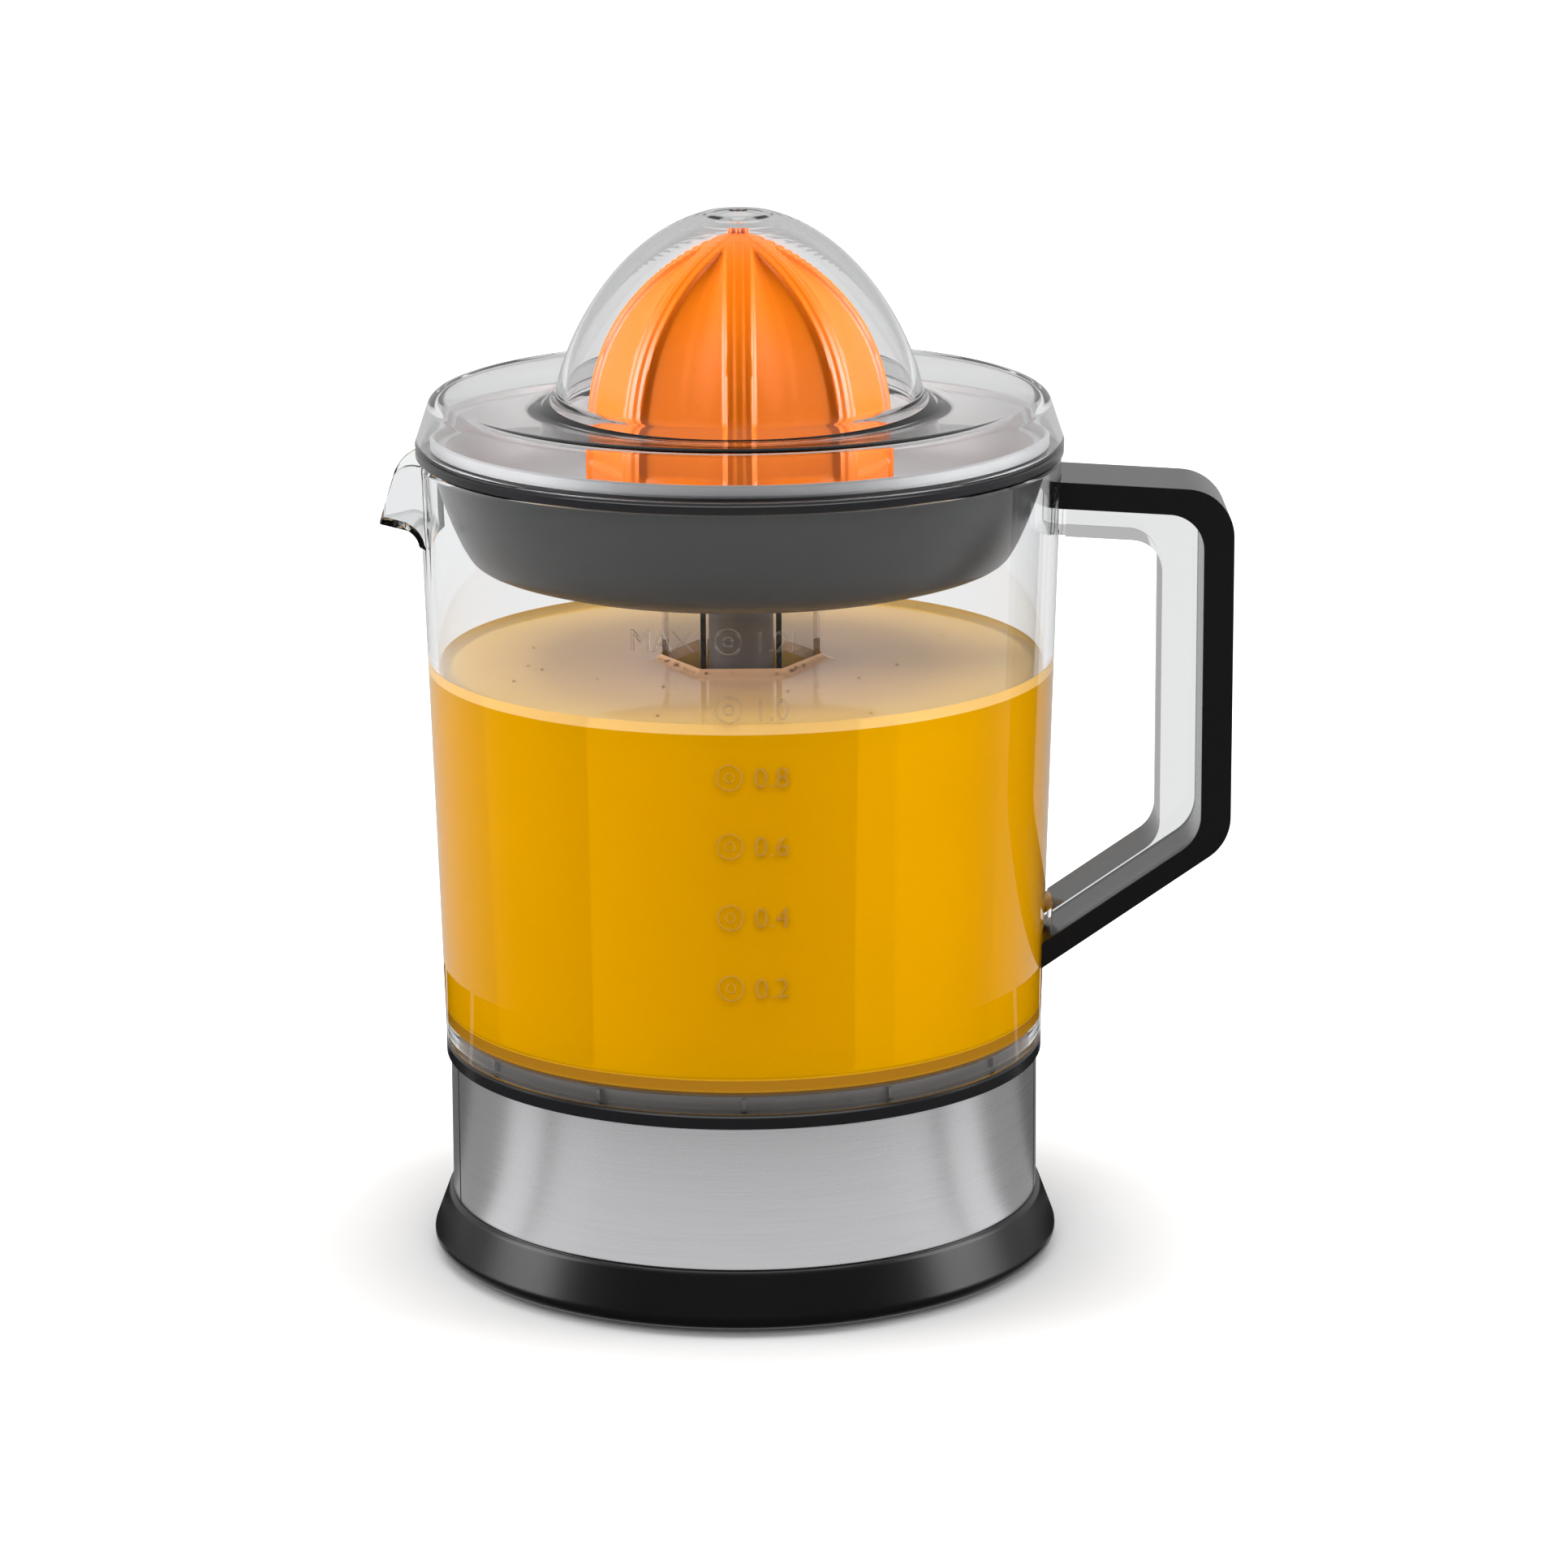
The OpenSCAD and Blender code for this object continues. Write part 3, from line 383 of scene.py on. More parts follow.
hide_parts("lower_housing")

prof = fillet([(band_r - 0.6, band_lo[2]), (band_r, band_lo[2]), (band_r, band_hi[2]),
               (band_r - 0.6, band_hi[2])], {1: 0.15, 2: 0.25}, 4)
band = lathe("band", prof, "band", "base", 320)
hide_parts("steel_band")


def strip(name, ang, w, lo_z, hi_z, r_in, r_out, mat, slot):
    vs, half = [], math.degrees(w / 2 / r_out)
    for z in (lo_z, hi_z):
        for rr in (r_in, r_out):
            for a in (ang - half, ang + half):
                vs.append((rr * math.sin(math.radians(a)), -rr * math.cos(math.radians(a)), z))
    fs = [[0, 1, 3, 2], [4, 5, 7, 6], [0, 1, 5, 4], [2, 3, 7, 6], [0, 2, 6, 4], [1, 3, 7, 5]]
    return vs, fs


def joined(name, parts, mat, body, smooth=35.0):
    vs, fs = [], []
    for v, f in parts:
        k = len(vs)
        vs += v
        fs += [[i + k for i in q] for q in f]
    return obj_from(name, vs, fs, mat, body, smooth)


joined("band_seams", [strip("s", a, 0.7, band_lo[2] + 0.05, band_hi[2] - 0.05, band_r - 0.4,
                            band_r + 0.03, "seam", "black_base") for a in (-75, 80)],
       "seam", "base")
joined("deck_ribs", [strip("r", 30 * k, 0.9, 49.6, 52.0, 61.8, 63.0, "deck", "black_plastic")
                     for k in range(12)], "deck", "base")

# -------------------------------------------------------------------- spring
turns, wire, seg = 6, 0.7, 10
rs = spring_hi[0] - wire
za, zb = spring_lo[2] + wire, spring_hi[2] - wire
vs, fs, steps = [], [], 40 * turns
for i in range(steps + 1):
    a = 2 * math.pi * turns * i / steps
    z = za + (zb - za) * i / steps
    for j in range(seg):
        b = 2 * math.pi * j / seg
        q = rs + wire * math.cos(b)
        vs.append((q * math.cos(a), q * math.sin(a), z + wire * math.sin(b)))
for i in range(steps):
    for j in range(seg):
        k = (j + 1) % seg
        fs.append([i * seg + j, (i + 1) * seg + j, (i + 1) * seg + k, i * seg + k])
fs += [list(range(seg)), [steps * seg + j for j in range(seg - 1, -1, -1)]]
spring = obj_from("spring", vs, fs, "steel", "base", 60, False)
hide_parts("return_spring")
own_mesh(spring)

# ----------------------------------------------------------------------- jug
floor0, floor1 = z0 + 4.8, z0 + 7.3
ri_rim = r1 - wall
rf = 3.0
ci = (jug_r(floor1) - wall - rf, floor1 + rf)
prof = [(r0 - wall + 0.25, z0), (r0 - 0.5, z0), (r0 - 0.15, z0 + 0.15), (r0 + 0.01, z0 + 0.6),
        (r1 - 0.03, rim - 0.7), (r1 - 0.2, rim - 0.2), (r1 - 0.7, rim),
        (ri_rim + 0.6, rim), (ri_rim + 0.15, rim - 0.2), (ri_rim - 0.02, rim - 0.6)]
prof += arc(ci, rf, 2, -90, 12)
prof += [(0, floor1), (0, floor0), (jug_r(floor0) - wall - 1.0, floor0),
         (jug_r(floor0) - wall - 0.3, floor0 - 0.25), (jug_r(floor0) - wall, floor0 - 1.0),
         (r0 - wall, z0 + 0.4)]
jug = raw(*lathe_data(prof, 288))

col_r, hex_top, spig_top = 17.7, 155.85, dish_lo[2] - 3.0


def hexagon(r, rnd_r=0.8):
    pts = [(r * math.cos(math.radians(60 * k)), r * math.sin(math.radians(60 * k))) for k in range(6)]
    return fillet(pts, {k: rnd_r for k in range(6)}, 4)


column = prism(hexagon(col_r), floor0 + 0.5, hex_top)
spigot = raw(*lathe_data([(0, hex_top - 1), (10.2, hex_top - 1), (10.2, spig_top), (0, spig_top)], 96))
boolean(column, spigot, "UNION")
boolean(jug, column, "UNION")
bore = prism(hexagon(col_r - 2.54, 0.5), floor0 - 1, hex_top - 2)
bore2 = raw(*lathe_data([(0, hex_top - 3), (8, hex_top - 3), (8, spig_top + 1), (0, spig_top + 1)], 96))
boolean(bore, bore2, "UNION")
boolean(jug, bore, "DIFFERENCE")

reach, sp_w, drop, tip_r, sp_t = -jug_lo[0] - r1, 28.0, 15.4, 3.6, 1.6


def corner(a, p, b, r, n=14):
    return fillet([a, p, b], {1: r}, n)[1:-1]


def spout_solid(t, is_open):
    tip_x, tip_z = r1 + reach, rim - drop
    fil = 3.4
    cx, cz = -jug_r(tip_z - fil) - fil, tip_z - fil
    if is_open:
        top = [(-tip_x - 1, rim + 9), (-tip_x - 1, tip_z + t)]
    else:
        top = corner((-r0, rim), (-r1 - reach / 2, rim - 1.1), (-tip_x, tip_z), 8) + \
            [(-tip_x + 0.1, tip_z + 0.25), (-tip_x + 0.25, tip_z)]
    side = [(8 - r1, rim + 9 if is_open else rim)] + top + arc((cx, cz), fil + t, 90, 0, 20) + \
        [(8 - r1, cz)]
    s = prism(side, -sp_w, sp_w, "xz")
    nose = arc((tip_r - tip_x, 0), tip_r - t, 130, 230, 24)
    plan = [(8 - r1, sp_w / 2 - t), (2 - r1, sp_w / 2 - t)] + nose + \
        [(2 - r1, t - sp_w / 2), (8 - r1, t - sp_w / 2)]
    p = prism(plan, rim - 60, rim + 20)
    return boolean(s, p, "INTERSECT")


def cone_solid(grow, inner_to=None):
    a, b = z0 - 40, rim + 40
    return raw(*lathe_data([(0, a), (jug_r(a) + grow, a), (jug_r(b) + grow, b), (0, b)], 288))


# handle lines
top_z = rim - 4.2
HX = grip_hi[0]
LINE = [(r0 - 8, top_z), (HX, top_z - 3.1), (HX, rim - 86.9), (r0 - 8, rim - 115.3 - 5.6)]


def line(t):
    p = [Vector(v) for v in LINE]
    d = [(p[1] - p[0]).normalized(), (p[2] - p[1]).normalized(), (p[3] - p[2]).normalized()]
    n = [Vector((v.y, -v.x)) for v in d]
    q = [p[0] + n[0] * t[0], p[1] + n[1] * t[1], p[3] + n[2] * t[2]]

    def meet(a, u, b, v):
        w = Vector((v.y, -v.x))
        return a + u * ((b - a).dot(w) / u.dot(w))
    return [q[0], meet(q[0], d[0], q[1], d[1]), meet(q[1], d[1], q[2], d[2]), q[2]]


def run(t, ra, rb, n=14):
    p = [tuple(v) for v in line(t)]
    return [p[0]] + corner(p[0], p[1], p[2], ra, n) + corner(p[1], p[2], p[3], rb, n) + [p[3]]


def bar(ta, ra, tb, rb, w):
    return prism(run(ta, *ra) + run(tb, *rb)[::-1], -w / 2, w / 2, "xz")


GT = (6.0, 6.7, 4.8)
FT = (12.6, 15.7, 9.3)
GF = tuple(v - 0.05 for v in GT)
spout = spout_solid(0, False)
pads = boolean(bar(GF, (8, 9.5), FT, (7, 7.5), 16), cone_solid(1.6), "INTERSECT")
boolean(spout, pads, "UNION")
boolean(spout, cone_solid(-1.1), "DIFFERENCE")
boolean(jug, spout, "UNION")
boolean(jug, spout_solid(sp_t, True), "DIFFERENCE")
jug = finish_mesh("jug_clear", take(jug), "jug", "jug_body", 38)
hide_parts("jug")

grip = bevelled(boolean(bar((0, 0, 0), (11, 11), GT, (8, 9.5), 24), cone_solid(0.05), "DIFFERENCE"),
                1.1, 4, 35)
grip = finish_mesh("grip", take(grip), "grip", "jug_body", 30)
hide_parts("handle_grip")
fr = bevelled(boolean(bar(GF, (8, 9.5), FT, (7, 7.5), 19), cone_solid(1.65), "DIFFERENCE"), 0.5, 3, 35)
fr = finish_mesh("handle_clear", take(fr), "frame", "jug_body", 30)
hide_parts("handle_frame")

# --------------------------------------------------------------------- juice
LEVEL, GAP, LAP = 135.0, 0.25, 0.3
N = 288


def hex_r(a, r):
    ap = r * math.cos(math.radians(30))
    return ap / math.cos(math.radians((math.degrees(a) % 60) - 30))


def juice_ring(a):
    ri = hex_r(a, col_r + GAP)
    out = lambda z: jug_r(z) - wall + LAP
    pts = [(ri, floor1 - LAP)]
    pts += [(ri, z) for z in (80, 110, LEVEL - 1)]
    pts += [(ri + 0.15, LEVEL + 1.5), (ri + 0.5, LEVEL + 0.95), (ri + 1.1, LEVEL + 0.45),
            (ri + 2.2, LEVEL + 0.12), (ri + 4, LEVEL)]
    ro = out(LEVEL)
    pts += [(ri + 4 + (ro - 4 - ri - 4) * k / 10, LEVEL) for k in range(1, 10)]
    pts += [(ro - 3.2, LEVEL), (ro - 1.6, LEVEL + 0.15), (ro - 0.8, LEVEL + 0.45),
            (ro - 0.3, LEVEL + 0.9), (ro - 0.04, LEVEL + 1.35), (ro, LEVEL + 1.0)]
    pts += [(out(z), z) for z in (LEVEL - 1, 120, 100, 80, floor1 + 3)]
    zc = floor1 - LAP + 1.3
    pts += arc((out(zc) - 1.3, zc), 1.3, 0, -90, 6)
    return pts


vs, fs = [], []
rings = [juice_ring(2 * math.pi * k / N) for k in range(N)]
P = len(rings[0])
for k, ring in enumerate(rings):
    a = 2 * math.pi * k / N
    vs += [(r * math.cos(a), r * math.sin(a), z) for r, z in ring]
for k in range(N):
    j = (k + 1) % N
    for i in range(P):
        q = (i + 1) % P
        fs.append([k * P + i, k * P + q, j * P + q, j * P + i])
juice = obj_from("juice", vs, fs, ["juice", "juice_top", "juice_bottom_glow"], "jug_body", 50)
# the top faces take the surface material; the lowest faces take the painted glow
for p in juice.data.polygons:
    if p.center.z > (LEVEL - 0.3) * MM:
        p.material_index = 1
    elif p.center.z < (floor1 + 0.4) * MM:
        p.material_index = 2


def ball(c, r, u=10, v=7):
    pts, q = [(c[0], c[1], c[2] + r)], []
    for i in range(1, v):
        t = math.pi * i / v
        pts += [(c[0] + r * math.sin(t) * math.cos(2 * math.pi * k / u),
                 c[1] + r * math.sin(t) * math.sin(2 * math.pi * k / u), c[2] + r * math.cos(t))
                for k in range(u)]
    pts.append((c[0], c[1], c[2] - r))
    q += [[0, 1 + k, 1 + (k + 1) % u] for k in range(u)]
    for i in range(v - 2):
        q += [[1 + i * u + k, 1 + (i + 1) * u + k, 1 + (i + 1) * u + (k + 1) % u, 1 + i * u + (k + 1) % u]
              for k in range(u)]
    e = len(pts) - 1
    q += [[e, 1 + (v - 2) * u + (k + 1) % u, 1 + (v - 2) * u + k] for k in range(u)]
    return pts, q


balls = []
ro = jug_r(LEVEL) - wall - GAP
for k in range(46):
    a = math.radians(rnd.uniform(0, 360))
    r = hex_r(a, col_r + GAP) + rnd.uniform(0.5, 1.6)
    balls.append(ball((r * math.cos(a), r * math.sin(a), LEVEL + 0.5 + rnd.uniform(0, 0.3)),
                      rnd.uniform(0.22, 0.5)))
for k in range(17):
    a = math.radians(-90 - 16 + 1.55 * k + rnd.uniform(-0.5, 0.5))
    balls.append(ball(((ro - 0.75) * math.cos(a), (ro - 0.75) * math.sin(a), LEVEL + 0.25),
                      rnd.uniform(0.3, 0.55)))
for k in range(36):
    a, r = math.radians(rnd.uniform(0, 360)), math.sqrt(rnd.uniform(24 ** 2, 60 ** 2))
    balls.append(ball((r * math.cos(a), r * math.sin(a), LEVEL + 0.05), rnd.uniform(0.15, 0.4)))
joined("bubbles", balls, "bubble", "jug_body", 80)


# --------------------------------------------------------------------- marks
def text_mesh(body, size):
    cu = bpy.data.curves.new("t", "FONT")
    cu.body, cu.size, cu.extrude = body, size * MM, 0.0
    cu.align_x = "LEFT"
    cu.resolution_u = 4
    o = bpy.data.objects.new("t", cu)
    scene.collection.objects.link(o)
    bpy.context.view_layer.update()
    me = bpy.data.meshes.new_from_object(o.evaluated_get(bpy.context.evaluated_depsgraph_get()))
    bpy.data.objects.remove(o)
    return me


def ring_flat(r_in, r_out, n=40):
    v = [(q * math.cos(2 * math.pi * k / n), q * math.sin(2 * math.pi * k / n)) for q in (r_in, r_out)
         for k in range(n)]
    return v, [[k, (k + 1) % n, n + (k + 1) % n, n + k] for k in range(n)]


def wrap(verts, faces, x, z, h):
    """Lays a flat figure on the jug's outer wall at the front, h thick."""
    keep = []
    for lay in (-0.06, h):
        row = []
        for px, pz in verts:
            zz = z + pz
            r = jug_r(zz) + lay
            a = (x + px) / r1
            row.append(bm_all.verts.new((r * math.sin(a) * MM, -r * math.cos(a) * MM, zz * MM)))
        keep.append(row)
    edges = {}
    for f in faces:
        bm_all.faces.new([keep[1][i] for i in f])
        bm_all.faces.new([keep[0][i] for i in reversed(f)])
        for i, a in enumerate(f):
            b = f[(i + 1) % len(f)]
            key = (min(a, b), max(a, b))
            edges[key] = None if key in edges else (a, b)
    for e in edges.values():
        if e:
            a, b = e
            bm_all.faces.new([keep[0][a], keep[0][b], keep[1][b], keep[1][a]])


def write(body, x, z, h, size=6.6, centre=False):
    me = text_mesh(body, size)
    v = [(p.co.x / MM, p.co.y / MM) for p in me.vertices]
    f = [list(p.vertices) for p in me.polygons]
    w = max(p[0] for p in v)
    wrap([(p[0] - (w if centre else 0), p[1] - size * 0.35) for p in v], f, x, z, h)


# the marks over the juice hardly show, so they are lower and as clear as the wall
for piece, mat, h, marks in (
        ("volume_marks", "mark", 0.26, (("1.2L", 154.6), ("1.0", 139.9))),
        ("volume_marks_low", "jug", 0.1, (("0.8", 125.0), ("0.6", 109.8), ("0.4", 94.0), ("0.2", 78.2)))):
    bm_all = bmesh.new()
    for label, z in marks:
        for a, b in ((2.55, 3.0), (0.85, 1.2)):
            v, f = ring_flat(a, b)
            wrap(v, f, -2.8, z, h)
        write(label, 2.4, z, h)
        if label == "1.2L":
            write("MAX", -10.2, z, h, centre=True)
    me = bpy.data.meshes.new(piece)
    bm_all.to_mesh(me)
    bm_all.free()
    finish_mesh(piece, me, mat, "jug_body", 30)

# ----------------------------------------------------------------- collector
neck = ri_rim - 0.7
bw = [neck, neck - 1.7, neck - 2.9, neck - 4.9, neck - 7.1, neck - 9.6]
bz = [rim - d for d in (0, 6.3, 10, 15.2, 19.8, 22.8)]
b0 = col_lo[2]
b1 = b0 + 2
fl0, fl1, fr_o = rim + 0.2, col_hi[2], col_hi[0]


def smooth_line(points, n=5):
    out = []
    for i in range(len(points) - 1):
        p0, p1, p2, p3 = points[max(0, i - 1)], points[i], points[i + 1], points[min(len(points) - 1, i + 2)]
        for k in range(n):
            t = k / n
            out.append(tuple(0.5 * ((2 * b) + (-a + c) * t + (2 * a - 5 * b + 4 * c - d) * t * t +
                                    (-a + 3 * b - 3 * c + d) * t ** 3)
                             for a, b, c, d in zip(p0, p1, p2, p3)))
    return out + [points[-1]]


outer = smooth_line([(52, b0)] + [(bw[i], bz[i]) for i in range(5, -1, -1)])
inner = smooth_line([(bw[i] - 2.4, bz[i]) for i in range(6)] + [(52, b1)])
prof = [(0, b0), (46, b0)] + outer + \
    [(neck, fl0), (fr_o - 0.4, fl0), (fr_o, fl0 + 0.4), (fr_o, fl1 - 0.5), (fr_o - 0.5, fl1),
     (neck - 2.0, fl1), (neck - 2.4, fl1 - 0.3)] + inner + [(46, b1), (0, b1)]
bowl = raw(*lathe_data(prof, 256))
ch = dish_lo[2] - 0.6
chim = raw(*lathe_data([(0, b0 + 0.5), (12.4, b0 + 0.5), (12.4, ch - 0.4), (12.0, ch), (0, ch)], 96))
boolean(bowl, chim, "UNION")
hole = raw(*lathe_data([(0, b0 - 1), (10.8, b0 - 1), (10.8, ch - 1.5), (7.8, ch - 1.5), (7.8, ch + 1), (0, ch + 1)], 96))
boolean(bowl, hole, "DIFFERENCE")
for k in range(6):
    a = math.radians(90 + 60 * k)
    sl = prism([(20.7, -2.2), (28.7, -2.2), (28.7, 2.2), (20.7, 2.2)], b0 - 1, b1 + 1)
    sl.data.transform(Matrix.Rotation(a, 4, "Z"))
    boolean(bowl, sl, "DIFFERENCE")
me = take(bowl)
bowl = finish_mesh("bowl", me, ["bowl", "flange"], "collector_body", 32)
for p in bowl.data.polygons:
    if p.center.z > (fl0 - 0.01) * MM:
        p.material_index = 1
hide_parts("collector")

# ------------------------------------------------------------------ strainer
t = 1.0
dz0, dz1 = dish_lo[2], dish_lo[2] + t
lipz, lipr = dish_hi[2], dish_hi[0]
brz = fl1 + 0.2
foot_p, brim_p = Vector((ri_rim - 12.8, dz1)), Vector((ri_rim - 4.5, brz + t))
up = (brim_p - foot_p).normalized()
nrm = Vector((up.y, -up.x))
und = foot_p + nrm * t
fu = und + up * ((dz0 - und.y) / up.y)
bu = und + up * ((brz - und.y) / up.y)
low = fillet([(11.66, dz0), tuple(fu), tuple(bu)], {1: 17}, 24)[1:-1]
top = fillet([(11.66, dz1), tuple(foot_p), tuple(brim_p)], {1: 16}, 24)[1:-1]
prof = [(10.06, dz0), (11.66, dz0)] + low + \
    [tuple(bu), (lipr - 0.3, brz), (lipr, brz + 0.3), (lipr, lipz - 0.35), (lipr - 0.35, lipz),
     (lipr - 0.7, lipz), (lipr - 1, lipz - 0.3), (lipr - 1, brz + 1.3), (lipr - 1.3, brz + 1),
     tuple(brim_p)] + top[::-1] + \
    [(12.3, dz1), (11.66, dz1 + 0.6), (11.66, 184.9), (11.2, 185.4), (10.06, 185.4)]
dish = raw(*lathe_data(prof, 288))
slots = []
for k in range(36):
    c = prism([(36, -0.8), (44, -0.8), (44, 0.8), (36, 0.8)], dz0 - 1, dz1 + 1)
    c.data.transform(Matrix.Rotation(math.radians(10 * k), 4, "Z"))
    slots.append(c)
bpy.context.view_layer.update()
bm = bmesh.new()
for c in slots:
    bm.from_mesh(c.data)
    bpy.data.objects.remove(c)
me = bpy.data.meshes.new("slots")
bm.to_mesh(me)
bm.free()
c = bpy.data.objects.new("slots", me)
scene.collection.objects.link(c)
boolean(dish, c, "DIFFERENCE")
dish = finish_mesh("dish", take(dish), "dish", "strainer_body", 32)
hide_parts("strainer")

# ---------------------------------------------------------------------- cone
cz0, cz1, CR = cone_lo[2], cone_hi[2], 33.8
ch_ = 56.0
cz0 = cz1 - ch_


def prof_r(t):
    return CR if t < 0.08 else CR * max(0.0, 1 - ((t - 0.08) / 0.92) ** 2.8) ** 0.75


def smoothstep(x):
    x = min(1, max(0, x))
    return x * x * (3 - 2 * x)


def cone_outer(a, t):
    r = prof_r(t)
    if r < 0.4:
        return max(r, 0.0)
    s = (math.degrees(a) % 45)
    s = min(s, 45 - s)
    d = math.radians(s) * r
    half = math.radians(22.5) * r
    ridge = 0.35 * (1 - smoothstep((d - 0.75) / 0.5))
    side = smoothstep((d - 2.6) / 1.1)
    span_ = max(half - 3.7, 0.01)
    belly = math.sin(min(1, max(0, (d - 3.2) / span_)) * math.pi / 2) if half > 3.7 else 0
    depth = side * (1.15 + 1.35 * belly)
    fade = smoothstep((t - 0.105) / 0.02)
    depth *= 0.62 + 0.38 * fade
    top_fade = 1 - smoothstep((t - 0.86) / 0.12)
    return r - 0.35 + ridge - depth * top_fade


A, T = 480, 100
vs, fs = [], []
ts = [i / T for i in range(T)] + [0.9985]
for tt in ts:
    for k in range(A):
        a = 2 * math.pi * k / A
        r = cone_outer(a, tt)
        vs.append((r * math.cos(a), r * math.sin(a), cz0 + (ch_ - 0.6) * tt))
tip = len(vs)
vs.append((0, 0, cz1 - 0.6))
R_ = len(ts)
for i in range(R_ - 1):
    for k in range(A):
        j = (k + 1) % A
        fs.append([i * A + k, i * A + j, (i + 1) * A + j, (i + 1) * A + k])
fs += [[(R_ - 1) * A + k, (R_ - 1) * A + (k + 1) % A, tip] for k in range(A)]
start = len(vs)
ins = [(t_, prof_r(t_ * 0.78) - 4.8) for t_ in [i / 24 for i in range(25)]]
for t_, r in ins:
    z = cz0 + ch_ * 0.78 * t_
    vs += [(r * math.cos(2 * math.pi * k / A), r * math.sin(2 * math.pi * k / A), z) for k in range(A)]
for i in range(24):
    for k in range(A):
        j = (k + 1) % A
        fs.append([start + i * A + k, start + i * A + j, start + (i + 1) * A + j, start + (i + 1) * A + k])
fs += [[k, (k + 1) % A, start + (k + 1) % A, start + k] for k in range(A)]
apex = len(vs)
vs.append((0, 0, cz0 + ch_ * 0.78))
fs += [[start + 24 * A + k, start + 24 * A + (k + 1) % A, apex] for k in range(A)]
parts = [(vs, fs)]
for k in range(8):
    a = math.radians(45 * k + 90)
    parts.append(ball((1.75 * math.cos(a), 1.75 * math.sin(a), cz1 - 0.62), 0.6, 14, 8))
parts.append(ball((0, 0, cz1 - 0.7), 0.95, 14, 8))
bz_top = cz0 + ch_ * 0.78 + 0.5
parts.append(lathe_data([(0, 190.05), (9.5, 190.05), (9.5, bz_top), (0, bz_top)], 64))
hx = 11.9 / 2 / math.cos(math.radians(30))
hexp = [(hx * math.cos(math.radians(60 * k)), hx * math.sin(math.radians(60 * k))) for k in range(6)]
hz0, hz1 = cone_lo[2], 190.5
hz0 = 180.55
parts.append(([(x, y, hz0) for x, y in hexp] + [(x, y, hz1) for x, y in hexp],
              [list(range(6)), list(range(11, 5, -1))] +
              [[i, (i + 1) % 6, 6 + (i + 1) % 6, 6 + i] for i in range(6)]))
cone = joined("cone", parts, "cone", "cone_body", 40)
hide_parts("reamer_cone")

# --------------------------------------------------------------------- cover
c0, cr = lid_lo[2], lid_hi[0]
sh, ringz = c0 + 11.1, c0 + 7.8
DR, DH, ct = 41.0, 43.8, 2.0


def dome(t_, r):
    return r * math.sqrt(max(0, 1 - t_ ** 1.51))


outer = [(cr, c0)] + corner((cr, c0), (cr - 3.6, sh), (DR + 5, ringz), 3.0, 16) + \
    corner((cr - 3.6, sh), (DR + 5.2, ringz), (DR + 0.2, ringz + 1.7), 6, 10)
n = 60
outer += [(DR + 0.05, ringz + 2.6)]
dm = [(dome((i / n) ** 1.4 * 0.93 + 0.07, DR), ringz + DH * ((i / n) ** 1.4 * 0.93 + 0.07)) for i in range(1, n)]
dm += [(r, ringz + DH - 0.5 - 0.45 * (r / 7.38) ** 2) for r in (6.2, 5, 3.9, 2.9, 2.1)]
dm += [(1.9, ringz + DH - 0.85), (0, ringz + DH - 0.85)]
outer += dm
dih = DH - ct
inner = [(0, ringz + dih)]
inner += [(dome((i / n) ** 1.4, DR - ct), ringz + dih * (i / n) ** 1.4) for i in range(n - 1, 0, -1)]
inner += [(DR - ct + 0.25, ringz - 0.6), (DR - ct + 1.0, ringz - 1.5), (DR + 1.5, ringz - ct)]
inner += corner((DR + 3, ringz - ct), (cr - ct - 3.6, sh - ct), (cr - ct, c0), 1.2, 8)
inner += [(cr - ct, c0 + 0.3), (cr - ct + 0.3, c0)]
outer[0] = (cr - 0.3, c0)
outer.insert(1, (cr, c0 + 0.3))
cover = lathe("cover", outer + inner, "cover", "cover_body", 288, 40)
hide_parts("dust_cover")

# clear plastic lets the studio light through to what stands inside it
for o in (jug, fr, cover):
    o.visible_shadow = False


# --------------------------------------------------------------------- stage
def stage_mat(name, color, emit):
    m = bpy.data.materials.new(name)
    m.use_nodes = True
    b = m.node_tree.nodes["Principled BSDF"]
    b.inputs["Base Color"].default_value = (*color, 1)
    b.inputs["Roughness"].default_value = 1.0
    b.inputs["Specular IOR Level"].default_value = 0.0
    b.inputs["Emission Color"].default_value = (1, 1, 1, 1)
    b.inputs["Emission Strength"].default_value = emit
    return m


def card(name, corners, mat, camera=False, diffuse=False, shadow=False, glossy=True, trans=True):
    me = bpy.data.meshes.new(name)
    me.from_pydata(corners, [], [list(range(len(corners)))])
    me.materials.append(mat)
    o = bpy.data.objects.new(name, me)
    scene.collection.objects.link(o)
    o.visible_camera, o.visible_diffuse, o.visible_shadow = camera, diffuse, shadow
    o.visible_glossy, o.visible_transmission = glossy, trans
    return o


def quad(x0, x1, y0, y1, z):
    return [(x0, y0, z), (x1, y0, z), (x1, y1, z), (x0, y1, z)]


def glow_floor(name, color, kind, lo, hi):
    """Pale floor whose own glow grows with the distance from the product, or towards the back; the weak glow
    near the product is painted shade round its foot, added to the real shadow.
    """
    m = stage_mat(name, color, 1.0)
    nt = m.node_tree
    geo = nt.nodes.new("ShaderNodeNewGeometry")
    if kind == "LENGTH":
        far = nt.nodes.new("ShaderNodeVectorMath")
        far.operation = kind
        nt.links.new(geo.outputs["Position"], far.inputs[0])
        src = far.outputs["Value"]
    else:
        far = nt.nodes.new("ShaderNodeSeparateXYZ")
        nt.links.new(geo.outputs["Position"], far.inputs[0])
        src = far.outputs["Y"]
    ramp = nt.nodes.new("ShaderNodeMapRange")
    ramp.inputs["From Min"].default_value, ramp.inputs["From Max"].default_value = lo, hi
    nt.links.new(src, ramp.inputs["Value"])
    nt.links.new(ramp.outputs["Result"], nt.nodes["Principled BSDF"].inputs["Emission Strength"])
    return m
